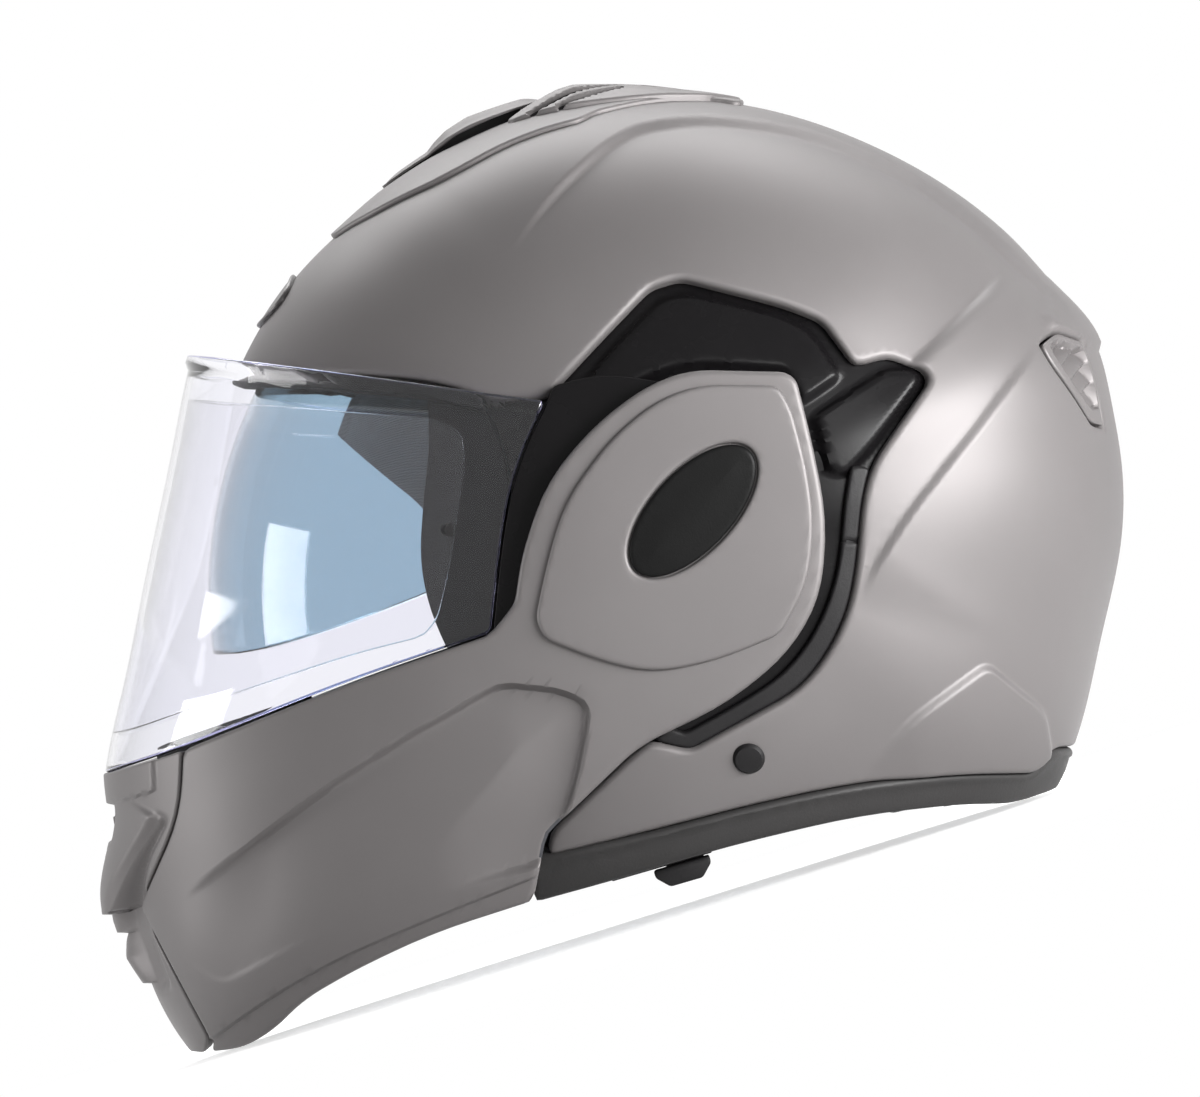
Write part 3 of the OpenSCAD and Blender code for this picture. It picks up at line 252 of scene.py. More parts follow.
def finish(name, colour, second, mix_mm, roughness, spread, bump_mm, bump_share, **sockets):
    """A finish with a fine change of colour, of gloss and of height, all scaled from millimetres."""
    mat, tree, where = blank(name)
    broad = node(tree, "ShaderNodeTexNoise", [("Vector", where)], Scale=1 / (mix_mm * MM), Detail=4.0,
                 Roughness=0.55)
    grain = node(tree, "ShaderNodeTexNoise", [("Vector", where)], Scale=1 / (bump_mm * MM), Detail=3.0,
                 Roughness=0.6)
    gloss = node(tree, "ShaderNodeMapRange", [("Value", broad.outputs["Fac"])], From_Min=0.3, From_Max=0.7,
                 To_Min=roughness - spread, To_Max=roughness + spread)
    bump = node(tree, "ShaderNodeBump", [("Height", grain.outputs["Fac"])], Strength=bump_share,
                Distance=bump_mm * MM * 0.5)
    painted(tree, two_tone(tree, broad.outputs["Fac"], colour, second), bump,
            [("Roughness", gloss.outputs["Result"])], **sockets)
    return mat


# %% [markdown]
# The shell is smooth lacquer, so it needs a surface without flats. The outline seen from the side
# becomes a closed cubic curve round the hinge, and the surface narrows from the widest place at the
# hinge to nothing at that outline. One such formula with a few numbers gives the shell, the chin
# section, both visors and the linings, which is why they stay an even distance apart.

# %% Curved surfaces
def round_curve(ring_px):
    """A closed cubic curve: the distance from the hinge for every angle round it."""
    pts = at(ring_px) if np.abs(np.asarray(ring_px)).max() > 400 else np.asarray(ring_px, float)
    angle = np.unwrap(np.arctan2(pts[:, 1], pts[:, 0]))
    if angle[-1] < angle[0]:
        pts, angle = pts[::-1], angle[::-1]
    order = np.argsort(angle % (2 * math.pi))
    t, r = (angle % (2 * math.pi))[order], np.hypot(pts[:, 0], pts[:, 1])[order]
    n = len(t)
    step = np.diff(np.append(t, t[0] + 2 * math.pi))
    slope = (np.roll(r, -1) - r) / step
    system, right = np.zeros((n, n)), np.zeros(n)
    for i in range(n):
        system[i, i - 1] += step[i - 1]
        system[i, i] += 2 * (step[i - 1] + step[i])
        system[i, (i + 1) % n] += step[i]
        right[i] = 6 * (slope[i] - slope[i - 1])
    bend = np.linalg.solve(system, right)

    def radius(a):
        a = (np.asarray(a, float) - t[0]) % (2 * math.pi) + t[0]
        i = np.clip(np.searchsorted(t, a, "right") - 1, 0, n - 1)
        j = (i + 1) % n
        h, left = step[i], a - t[i]
        rest = h - left
        return (bend[i] * rest ** 3 + bend[j] * left ** 3) / (6 * h) + (r[i] / h - bend[i] * h / 6) * rest \
            + (r[j] / h - bend[j] * h / 6) * left
    return radius


ROUND_SAMPLES, SHARE_SAMPLES = 1441, 2001
MEAN_RADIUS = 150.0


def dome(radius, form, off, arc, step, reach=(0.012, 1.0), centre=(0.0, 0.0)):
    """One half of a curved surface as a grid: rows run from the side to the middle line."""
    half, p, q = form[0] - off, form[1], form[2]
    fine = np.linspace(math.radians(arc[0]), math.radians(arc[1]), ROUND_SAMPLES)
    edge = (radius(fine) - off)[:, None] * np.stack([np.cos(fine), np.sin(fine)], -1)
    run = np.append(0, np.cumsum(np.hypot(*np.diff(edge, axis=0).T)))
    columns = max(8, int(run[-1] / step))
    turn = np.interp(np.linspace(0, run[-1], columns + 1), run, fine)
    share = np.sin(np.linspace(0, math.pi / 2, SHARE_SAMPLES)) ** 0.7
    high = half * np.maximum(0, 1 - share ** p) ** (1 / q)
    walk = np.append(0, np.cumsum(np.hypot(np.diff(share) * MEAN_RADIUS, np.diff(high))))
    first, last = np.interp(reach, share, walk)
    k = np.interp(np.linspace(first, last, max(6, int((last - first) / step)) + 1), walk, share)
    k[-1] = reach[1]
    side = radius(turn) - off
    x = np.cos(turn)[None, :] * side[None, :] * k[:, None] + centre[0]
    z = np.sin(turn)[None, :] * side[None, :] * k[:, None] + centre[1]
    y = np.repeat((-half * np.maximum(0, 1 - k ** p) ** (1 / q))[:, None], len(turn), 1)
    return np.stack([x, y, z], -1)


def height(radius, form, off):
    """How far the surface stands out at a place on the side."""
    def out(flat):
        x, z = flat[..., 0], flat[..., 1]
        share = np.hypot(x, z) / (radius(np.arctan2(z, x)) - off)
        return (form[0] - off) * np.maximum(0, 1 - np.minimum(share, 1) ** form[1]) ** (1 / form[2])
    return out


# %% [markdown]
# Moulded panels meet at gaps with rounded lips. On the real helmet these lips come from the mould
# and from the primer that fills sharp corners. Here a panel is cut out of its curved surface along
# a smooth outline, extra rows of points are laid beside the cut, and the rows sink along a quarter
# circle. Lofting and cutting like this keeps the big reflections calm right up to the edge.

# %% Outlines and distances
GENTLE_BEND = 28.0


def rounded(points, reach=9.0, closed=True, pieces=5):
    """Round the corners of an outline; gentle bends are blended fully."""
    pts = np.asarray(points, float)
    n = len(pts)
    out = []
    for i in range(n):
        if not closed and i in (0, n - 1):
            out.append(pts[i])
            continue
        before, here, after = pts[i - 1], pts[i], pts[(i + 1) % n]
        u, v = before - here, after - here
        lu, lv = np.hypot(*u), np.hypot(*v)
        bend = 180 - math.degrees(math.acos(np.clip(np.dot(u, v) / (lu * lv), -1, 1)))
        span = min(lu, lv) / 2 if bend < GENTLE_BEND else min(reach, lu / 2, lv / 2)
        a, b = here + u / lu * span, here + v / lv * span
        for s in np.linspace(0, 1, pieces):
            out.append((1 - s) ** 2 * a + 2 * s * (1 - s) * here + s * s * b)
    return np.array(out)


CHUNK = 4096


def nearest(line, flat, closed):
    """Distance to a line, which side, how far along it, and the way to its nearest place."""
    a = line if closed else line[:-1]
    b = np.roll(line, -1, 0) if closed else line[1:]
    keep = np.hypot(*(b - a).T) > 1e-9
    a, b = a[keep], b[keep]
    ab = b - a
    length = np.hypot(*ab.T)
    before = np.append(0, np.cumsum(length))
    far, side, along = np.empty((3, len(flat)))
    way = np.empty((len(flat), 2))
    for s in range(0, len(flat), CHUNK):
        now = slice(s, s + CHUNK)
        q = flat[now, None] - a[None]
        t = np.clip((q * ab).sum(-1) / length ** 2, 0, 1)
        gap = q - t[..., None] * ab
        d2 = (gap ** 2).sum(-1)
        i = d2.argmin(1)
        pick = np.arange(len(i))
        far[now] = np.sqrt(d2[pick, i])
        side[now] = np.sign(ab[i, 0] * q[pick, i, 1] - ab[i, 1] * q[pick, i, 0])
        along[now] = (before[i] + t[pick, i] * length[i]) / before[-1]
        way[now] = gap[pick, i]
        if closed:
            cross = (a[None, :, 1] > flat[now, None, 1]) != (b[None, :, 1] > flat[now, None, 1])
            with np.errstate(divide="ignore", invalid="ignore"):
                at_x = a[:, 0] + (flat[now, None, 1] - a[:, 1]) * ab[:, 0] / ab[:, 1]
            inside = (cross & (flat[now, None, 0] < at_x)).sum(1) % 2
            side[now] = np.where(inside == 1, 1.0, -1.0)
    way /= np.maximum(far, 1e-9)[:, None]
    return far, side, along, way


def aside(data):
    """Distance from the middle line."""
    return np.abs(data[:, 1])


# The three views of a point: from the side, from above and from the front.
SIDE, PLAN, FRONT = (0, 2), (0, 1), (2, 1)


def traced(px, reach=9.0, closed=True, pieces=5):
    """An outline or a fold read in the side view, in millimetres, with its corners rounded."""
    return at(rounded(px, reach, closed, pieces))


def rows_by(line, offsets, closed=False):
    """Fields that lay extra rows of points along a fold, so that its wall stays crisp."""
    def field_at(offset):
        def field(data):
            far, side, _, _ = nearest(line, data[:, SIDE], closed)
            return far * side - offset
        return field
    return [field_at(offset) for offset in offsets]


def inside_of(line, view=SIDE, flip=False):
    """A field that is positive inside an outline and grows with distance over the surface."""
    line = np.asarray(line, float)

    def field(data):
        far, side, _, way = nearest(line, data[:, view], True)
        lean = way[:, 0] * data[:, 3 + view[0]] + way[:, 1] * data[:, 3 + view[1]]
        true = far / np.sqrt(np.maximum(1 - lean ** 2, 0.02))
        return true * side * (-1 if flip else 1)
    return field


def within(px, reach):
    """Inside an outline of the side view."""
    return inside_of(traced(px, reach))


def smooth(low, high, value):
    """A soft step from 0 at low to 1 at high."""
    t = np.clip((value - low) / (high - low), 0, 1)
    return t * t * (3 - 2 * t)


def crease(line, rise, steep, fade, ends, flip=False):
    """A fold in the surface: it rises steeply on one side of a line and fades away on the other."""
    line = np.asarray(line, float)

    def relief(data, edge):
        far, side, along, _ = nearest(line, data[:, SIDE], False)
        d = far * side * (-1 if flip else 1)
        taper = smooth(0, ends, along) * smooth(0, ends, 1 - along) if ends else 1.0
        return rise * smooth(-steep, steep * 0.35, d) * (1 - smooth(0, fade, d)) * taper
    return relief


def island(line, rise, soft, view=SIDE, fade=None):
    """A raised or sunk area with a soft wall."""
    line = np.asarray(line, float)

    def relief(data, edge):
        far, side, _, _ = nearest(line, data[:, view], True)
        shape = smooth(-soft / 2, soft / 2, far * side)
        return rise * shape * (fade(data) if fade else 1)
    return relief


# %% [markdown]
# Cutting is done by hand in code, one polygon at a time, because a Boolean modifier leaves long
# slivers that show in a glossy lacquer. New points fall exactly on the outline, and each keeps the
# direction of the uncut surface, so the wall of the panel can be raised straight from it.

# %% Cutting and building
MADE = "_finished"
BOTH = ("_left", "_right")
NEARLY_NOTHING = 1e-7
ON_MIDDLE = 1e-5


def split(data, faces, field, level, drop):
    """Lay a row of points where the field passes the level, and drop the faces below it."""
    value = field - level
    value = np.where(np.abs(value) < NEARLY_NOTHING, NEARLY_NOTHING, value)
    made, extra, extra_field, out = {}, [], [], []
    count = len(data)
    sign = value > 0
    for face in faces:
        flags = [sign[i] for i in face]
        if all(flags):
            out.append(face)
            continue
        if not any(flags):
            if not drop:
                out.append(face)
            continue
        upper, lower = [], []
        for here, there in zip(face, face[1:] + face[:1]):
            (upper if sign[here] else lower).append(here)
            if sign[here] != sign[there]:
                key = (here, there) if here < there else (there, here)
                if key not in made:
                    a, b = key
                    t = value[a] / (value[a] - value[b])
                    made[key] = count + len(extra)
                    extra.append(data[a] + (data[b] - data[a]) * t)
                    extra_field.append(field[a] + (field[b] - field[a]) * t)
                upper.append(made[key])
                lower.append(made[key])
        if len(upper) > 2:
            out.append(upper)
        if len(lower) > 2 and not drop:
            out.append(lower)
    if extra:
        data = np.vstack([data, np.array(extra)])
        field = np.append(field, extra_field)
        sign = np.append(sign, np.ones(len(extra), bool))
    used, out = repacked(data, out)
    return data[used], out, field[used]


def as_surface(grid, outward=True):
    """Rows of points to loose points with their directions, and four-sided faces."""
    closed = np.abs(grid[:, 0] - grid[:, -1]).max() < 1e-6
    pole = np.ptp(grid[0], axis=0).max() < 1e-6
    if closed:
        grid = grid[:, :-1]
        along = (np.roll(grid, -1, 1) - np.roll(grid, 1, 1)) / 2
    else:
        along = np.gradient(grid, axis=1)
    rows, columns = grid.shape[:2]
    across = np.gradient(grid, axis=0)
    normal = np.cross(along, across)
    if pole:
        normal[0] = normal[1]
    normal /= np.maximum(np.linalg.norm(normal, axis=2, keepdims=True), 1e-12)
    centre_way = grid - np.array([grid[..., 0].mean(), 0, grid[..., 2].mean()])
    index = np.arange(rows * columns).reshape(rows, columns)
    if closed:
        index = np.hstack([index, index[:, :1]])
    if pole:
        index[0] = index[0, 0]
        normal[0] = [0, np.sign(normal[0, :, 1].sum()), 0]
    quads = np.stack([index[:-1, :-1], index[:-1, 1:], index[1:, 1:], index[1:, :-1]], -1).reshape(-1, 4)
    if ((normal * centre_way).sum() > 0) != outward:
        normal = -normal
    if (np.cross(along, across) * normal).sum() < 0:
        quads = quads[:, ::-1]
    middle_line = np.abs(grid[..., 1]) < 1e-6
    normal[middle_line, 1] = 0
    normal /= np.maximum(np.linalg.norm(normal, axis=2, keepdims=True), 1e-12)
    return np.hstack([grid.reshape(-1, 3), normal.reshape(-1, 3)]), quads


SHARP_EDGE = 38.0


def to_object(name, points, faces, mats, kinds=None, sharp=SHARP_EDGE):
    mesh = bpy.data.meshes.new(name)
    mesh.from_pydata(points.tolist(), [], faces)
    for mat in mats:
        mesh.materials.append(mat)
    if kinds is not None:
        mesh.polygons.foreach_set("material_index", kinds)
    mesh.update()
    mesh.shade_smooth()
    mesh.set_sharp_from_angle(angle=math.radians(sharp))
    return in_scene(name, mesh)


def quarter_round(radius, edge):
    """How far a rounded lip sinks at a distance from the edge."""
    if not radius:
        return 0 * edge
    return radius - np.sqrt(np.maximum(radius ** 2 - np.maximum(radius - edge, 0) ** 2, 0))


def repacked(points, faces):
    """Leave out the points that no face uses."""
    used = np.unique(np.concatenate([np.array(f) for f in faces])) if faces else np.array([], int)
    number = np.full(len(points), -1)
    number[used] = np.arange(len(used))
    return used, [[int(number[i]) for i in f] for f in faces]


def solid(data, faces, edge, name, mats, lift, lip, thick, reliefs, spans, lip_in, painted_shade_kinds=None):
    """Give a cut surface its relief, its rounded lip, a back and a wall between them."""
    normal = data[:, 3:6]
    raise_by = np.zeros(len(data)) + lift
    for relief in reliefs:
        raise_by = raise_by + relief(data, edge)
    front = data[:, :3] + normal * (raise_by - quarter_round(lip, edge))[:, None]
    depth = thick(data, edge) if callable(thick) else np.full(len(data), float(thick))
    inward = depth - lift - quarter_round(lip_in, edge)
    back_points = data[:, :3] - normal * inward[:, None]
    flat_line = aside(data) < ON_MIDDLE
    if spans:
        front[flat_line, 1] = 0
        back_points[flat_line, 1] = 0
    n = len(data)
    sides = dict.fromkeys((a, b) for face in faces for a, b in zip(face, face[1:] + face[:1]))
    rim = [(a, b) for (a, b) in sides
           if (b, a) not in sides and not (spans and flat_line[a] and flat_line[b])]
    walls = [[b, a, a + n, b + n] for a, b in rim]
    points = np.vstack([front, back_points])
    polys = [list(f) for f in faces] + [[i + n for i in reversed(f)] for f in faces] + walls
    kinds = [0] * len(faces) + [1 if len(mats) > 1 else 0] * len(faces) + [0] * len(walls)
    # Front faces given here take the second material, as painted shade.
    if painted_shade_kinds is not None:
        kinds[:len(faces)] = painted_shade_kinds
    if len(mats) > 2:
        at_rim = [2 if max(edge[i] for i in f) <= lip * 1.01 else 0 for f in faces]
        kinds = at_rim + at_rim + [2] * len(walls)
    if spans:
        total = len(points)
        mirror = np.arange(total) + total
        on_line = np.concatenate([flat_line, flat_line])
        mirror[on_line] = np.arange(total)[on_line]
        other = points * np.array([1, -1, 1])
        polys = polys + [[int(mirror[i]) for i in reversed(f)] for f in polys]
        kinds = kinds + kinds
        points = np.vstack([points, other])
        used, polys = repacked(points, polys)
        points = points[used]
    return to_object(name, placed(points), polys, mats, kinds)


LIP_ROWS = (0.02, 0.12, 0.3, 0.6, 1.0)
LEAST_LIP, CUT_REACH = 0.6, 6.0


def panel(name, grid, outlines, mats, body, stands_for=True, lift=0.0, lip=1.2, thick=3.0, reliefs=(),
          spans=True, gap=0.0, outward=True, extra_rows=(), lip_in=0.0, painted_shade_at=()):
    """A moulded panel; spans says that it crosses the middle line, otherwise two sides are made."""
    def edge_of(data):
        return np.min([outline(data) for outline in outlines], axis=0) - gap

    data, quads = as_surface(grid, outward)
    edge = edge_of(data)
    near_cut = (edge[quads].max(1) > -CUT_REACH) & (edge[quads].min(1) < CUT_REACH)
    faces = [list(dict.fromkeys(map(int, f))) for f in quads[(edge[quads] > -0.5).any(1) | near_cut]]
    data, faces, edge = split(data, faces, edge, 0.0, True)
    for share in LIP_ROWS:
        data, faces, edge = split(data, faces, edge, max(lip, LEAST_LIP) * share, False)
    for row in list(extra_rows) + list(painted_shade_at):
        data, faces, _ = split(data, faces, row(data), 0.0, False)
        edge = np.maximum(edge_of(data), 0)
    painted_shade_kinds = None
    # Faces whose middles lie inside these fields take the second material: painted shade for dark openings.
    if painted_shade_at:
        middles = np.array([data[f].mean(0) for f in faces])
        painted_shade_kinds = (np.max([field(middles) for field in painted_shade_at], axis=0) > 0).astype(int).tolist()
    names = [name] if spans else [name + side for side in BOTH]
    made = [solid(data, faces, edge, names[0] + MADE, mats, lift, lip, thick, reliefs, spans, lip_in,
                  painted_shade_kinds)]
    made += [mirrored(made[0], other + MADE) for other in names[1:]]
    for obj, node_name in zip(made, names):
        adopt(obj, body, [node_name] if stands_for else [])
    print(name, len(made[0].data.polygons), "faces")
    return made


def adopt(obj, body, nodes_for):
    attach(obj, body)
    if nodes_for:
        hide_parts(*nodes_for)


def mirrored(obj, name):
    """The same piece on the other side of the helmet."""
    mesh = obj.data.copy()
    mesh.name = name
    points = np.empty(len(mesh.vertices) * 3)
    mesh.vertices.foreach_get("co", points)
    points[1::3] *= -1
    mesh.vertices.foreach_set("co", points)
    mesh.flip_normals()
    return in_scene(name, mesh)


# %% [markdown]
# Finishes. The shell is a glass-fibre composite under a satin metallic lacquer: fine aluminium
# flakes in a grey base, so it is part metal, part paint, and its highlights are broad. The recesses
# are moulded ABS with an even satin gloss, the trims are soft PVC and nylon with a matt grain, and
# the foam shows the beads it was steamed from. Bare laminate inside has a dull resin sheen, zinc
# plate is bright but cloudy, cast metal is darker and softer, EPDM rubber is the flattest black,
# and the red ABS of the button keeps a small sharp light. Clear polycarbonate is nearly white with
# violet cut edges, and the inner visor holds back red, which leaves light blue. The clear sheets
# bend light less than the 1.58 of a block, because a thin sheet hardly shifts what is behind it.
# A flake of 0.05 mm, moulding grain of 0.1 mm and thread of 0.3 mm are too fine to render, so
# flakes are drawn at 0.5 mm, grain at 0.5 to 0.9 mm and threads at 1.1 to 2.2 mm.

# %% Finishes
FLAKE_MM, LACQUER_MM = 0.5, 60.0
lacquer = finish("satin_metallic_lacquer", "#605d5d", "#676464", LACQUER_MM, 0.5, 0.02, FLAKE_MM, 0.035,
                 Metallic=0.4, Specular_IOR_Level=0.3)
abs_black = finish("moulded_satin_abs", "#0b0a0b", "#0f0e0f", 30.0, 0.27, 0.04, 0.8, 0.05,
                   Specular_IOR_Level=0.1)
abs_cap = finish("moulded_fine_grain_abs", "#0a0a0a", "#0e0e0e", 20.0, 0.42, 0.04, 0.6, 0.16,
                 Specular_IOR_Level=0.1)
nylon_black = finish("moulded_matt_nylon", "#121112", "#191819", 18.0, 0.5, 0.06, 0.7, 0.2,
                     Specular_IOR_Level=0.2)
nylon_grey = finish("moulded_grey_nylon", "#5d5d5f", "#68686a", 14.0, 0.48, 0.05, 0.7, 0.18, IOR=1.53)
pvc_trim = finish("extruded_soft_pvc", "#252424", "#2d2c2c", 25.0, 0.55, 0.06, 0.9, 0.22,
                  Specular_IOR_Level=0.25)
rubber = finish("moulded_epdm_rubber", "#0e0e0f", "#141415", 16.0, 0.62, 0.07, 0.8, 0.2,
                Specular_IOR_Level=0.1)
laminate = finish("bare_glass_fibre_laminate", "#26272a", "#33343a", 7.0, 0.55, 0.1, 1.5, 0.4, IOR=1.55)
steel = finish("zinc_plated_pressed_steel", "#a9aaa8", "#b9b8b0", 9.0, 0.34, 0.08, 0.5, 0.1, Metallic=1.0)
badge_metal = finish("cast_badge_blank", "#4b4949", "#565353", 8.0, 0.38, 0.05, 0.6, 0.1, Metallic=0.6)
button_red = finish("moulded_red_abs", "#8e1514", "#9b1c18", 12.0, 0.36, 0.05, 0.7, 0.12, IOR=1.54)


def foam(name, colour, dark, bead_mm):
    """Steam-moulded bead foam: rounded cells with dark joints between them."""
    mat, tree, where = blank(name)
    bead = node(tree, "ShaderNodeTexVoronoi", [("Vector", where)], Scale=1 / (bead_mm * MM), feature="F1")
    tone = node(tree, "ShaderNodeMapRange", [("Value", bead.outputs["Distance"])], From_Min=0.25,
                From_Max=0.85)
    bump = node(tree, "ShaderNodeBump", [("Height", bead.outputs["Distance"])], Strength=0.5, invert=True,
                Distance=0.4 * MM)
    painted(tree, two_tone(tree, tone.outputs["Result"], colour, dark), bump, Roughness=0.85)
    return mat


def cloth(name, colour, dark, thread_mm, sheen, kind="knit"):
    """Fabric drawn thread by thread: two crossed waves whose spacing is the thread spacing."""
    mat, tree, where = blank(name)
    fuzz = node(tree, "ShaderNodeTexNoise", [("Vector", where)], Scale=1 / (thread_mm * 3 * MM), Detail=4.0)
    wander, first, second = (1.2, "DIAGONAL", "Z") if kind == "knit" else (0.2, "X", "Y")
    weft, warp = [node(tree, "ShaderNodeTexWave", [("Vector", where)], Scale=1 / (thread_mm * MM) / 2,
                       Distortion=wander, bands_direction=way).outputs["Fac"] for way in (first, second)]
    weave = node(tree, "ShaderNodeMath", [(0, weft), (1, warp)], operation="MULTIPLY")
    tall = node(tree, "ShaderNodeMath", [(0, weave.outputs[0]), (1, fuzz.outputs["Fac"])], operation="ADD")
    bump = node(tree, "ShaderNodeBump", [("Height", tall.outputs[0])], Strength=0.6,
                Distance=thread_mm * MM * 0.4)
    painted(tree, two_tone(tree, weave.outputs[0], dark, colour), bump, Roughness=0.9, Sheen_Weight=sheen,
            Sheen_Roughness=0.5)
    return mat


def clear(name, colour, rough, ior):
    """Moulded clear plastic; the colour is what light keeps on its way through."""
    mat, tree, where = blank(name)
    haze = node(tree, "ShaderNodeTexNoise", [("Vector", where)], Scale=1 / (40 * MM), Detail=3.0)
    gloss = node(tree, "ShaderNodeMapRange", [("Value", haze.outputs["Fac"])], To_Min=rough,
                 To_Max=rough * 2.5)
    shader = node(tree, "ShaderNodeBsdfPrincipled", [("Roughness", gloss.outputs["Result"])],
                  Base_Color=linear(colour), IOR=ior, Transmission_Weight=1.0)
    node(tree, "ShaderNodeOutputMaterial", [("Surface", shader.outputs["BSDF"])])
    return mat


bead_foam = foam("steam_moulded_bead_foam", "#2c2d30", "#141416", 3.2)
knit = cloth("brushed_knit_lining", "#3a3b3e", "#17181a", 1.1, 0.35)
mesh_knit = cloth("air_mesh_lining", "#303236", "#0f1012", 2.2, 0.2)
webbing = cloth("woven_polyester_webbing", "#232326", "#0c0c0e", 1.2, 0.15, "weave")
polycarbonate = clear("hard_coated_polycarbonate", "#fafafe", 0.01, 1.33)
visor_edge = clear("cut_edge_of_coated_polycarbonate", "#8583b8", 0.05, 1.5)
fog_film = clear("fog_resistant_insert", "#fcfcfe", 0.02, 1.25)
sun_tint = clear("light_blue_polycarbonate", "#c8dce6", 0.015, 1.45)

# %% [markdown]
# The rings below are the outlines of the three big shells in side view, each read off that view. The
# first two numbers of a form are its half width beside the ears and how squarely it turns.

# %% Rings and forms
SHELL_RING = round_curve([
    (1126, 545), (1128, 480), (1118, 410), (1094, 328), (1055, 283), (1000, 230), (940, 185), (860, 143),
    (800, 121), (740, 107), (680, 101), (620, 103), (560, 111), (500, 127), (440, 153), (390, 184),
    (345, 222), (300, 266), (262, 317), (236, 366), (213, 440), (198, 540), (198, 660), (230, 800),
    (300, 925), (410, 1020), (540, 1062), (680, 1050), (790, 1010), (890, 955), (985, 875), (1045, 812),
    (1078, 750), (1106, 640)])
CHIN_RING = round_curve([
    (1340, 505), (1254, 825), (1020, 1059), (820, 1160), (680, 1190), (560, 1200), (420, 1190),
    (300, 1150), (240, 1110), (198, 1070), (168, 1030), (146, 985), (130, 930), (118, 880), (110, 835),
    (103, 790), (101, 745), (98, 690), (84, 600), (66, 505), (146, 185), (380, -49), (700, -135),
    (1020, -49), (1254, 185)])
VISOR_RING = round_curve([
    (88, 900), (94, 835), (100, 775), (118, 688), (135, 605), (152, 523), (169, 441), (185, 364),
    (208, 300), (258, 228), (330, 170), (520, 40), (760, 20), (980, 110), (1140, 300), (1200, 505),
    (1140, 760), (980, 930), (760, 1050), (520, 1080), (260, 1040)])
FULL_TURN = (0, 360)
SHELL = (119.0, 2.6, 2.2)
CHIN = (129.0, 2.8, 2.2)
VISOR = (122.0, 2.8, 2.2)
HEAD = (86.0, 2.6, 2.2)
SUN = (108.0, 2.6, 2.2)
SUN_PX = (650, 590)
SHELL_WALL = 4.0

EYEPORT_PX = [(-200, 374), (250, 371), (340, 374), (430, 381), (486, 398)]
SHELL_OUT_PX = [
    (545, 400), (600, 340), (650, 287), (680, 278), (785, 305), (822, 320), (855, 365), (890, 355),
    (925, 368), (930, 380), (872, 465), (862, 500), (856, 570), (848, 610), (830, 650), (800, 690),
    (690, 750), (650, 741)]
TRIM_TOP_PX = [(640, 834), (760, 803), (860, 783), (960, 773), (1034, 773), (1058, 750)]
shell_outline = traced(
    EYEPORT_PX + [(500, 400)] + SHELL_OUT_PX + [(630, 756), (550, 832), (546, 857)] + TRIM_TOP_PX
    + [(1260, 748), (1260, -200), (-200, -200)], 10)

# %% [markdown]
# The outer shell. On the real one, folds are pressed into the mould: one runs from the forehead up
# to the crown and back along the top, one falls from behind the crown towards the recess, and a
# raised panel sits over the neck. They are drawn as folds that rise steeply on one side of a line
# and fade on the other, so that light breaks on them as it does on the lacquer.

# %% Outer shell
crown_fold = traced([(500, 262), (517, 243), (534, 218), (560, 188), (610, 144), (640, 128), (700, 119),
                         (800, 130), (880, 160), (960, 208), (1060, 300), (1090, 345)], 22, False)
back_fold = traced([(1010, 262), (985, 290), (940, 335), (896, 378), (868, 404)], 14, False)
light_fold = traced([(1052, 330), (1005, 392), (952, 460), (905, 520), (872, 575), (858, 612)], 22, False)
neck_panel = traced([
    (868, 768), (905, 722), (985, 664), (1044, 712), (1052, 752), (1052, 790), (868, 800)], 10)


def beside_vents(data):
    """The lip over the rear vents is highest at its own edge and fades upward and forward."""
    return smooth(level(262), level(335), data[:, 2]) * smooth(95, 70, aside(data))


def low_back(data):
    """The panel over the neck fades forward and towards the sides."""
    return smooth(1.0, 22.0, data[:, 0] - at([860, 0])[0]) * smooth(120, 96, aside(data))


spoiler = traced([(1052, 250), (1150, 250), (1150, 347), (1100, 346), (1056, 331), (1046, 322)], 8)
shell_grid = dome(SHELL_RING, SHELL, 0.0, FULL_TURN, 2.6, reach=(0.3, 1.0))
REAR_PX = [(1040, 344), (1056, 331), (1104, 346), (1116, 430), (1092, 424), (1072, 393), (1050, 363)]
REAR_Y = (40.0, 78.0)
rear_outline = traced(REAR_PX, 5)


def band_y(low, high):
    """Positive where the distance from the middle line is between two values."""
    def field(data):
        return np.minimum(aside(data) - low, high - aside(data))
    return field


def outside_rear_vent(data):
    """The shell is open where the exhaust vents sit."""
    return -np.minimum(inside_of(rear_outline)(data), band_y(*REAR_Y)(data))


# The crown slider runs straight while the shell curves, so it needs a well in shell and vent base.
WELL_DEEP = 1.8
slider_well = rounded([
    (-104.6, -7.5), (-99.5, -10.6), (-87, -11.7), (-80, -15.7), (-54, -15.7), (-43, -9.6), (-40, 0),
    (-43, 9.6), (-54, 15.7), (-80, 15.7), (-87, 11.7), (-99.5, 10.6), (-104.6, 7.5)], 5)


def well(data, edge):
    far, side, _, _ = nearest(slider_well, data[:, PLAN], True)
    outside = -far * side + 40.0 * (data[:, 2] < 0)
    return -WELL_DEEP * smooth(3.0, 1.0, outside)


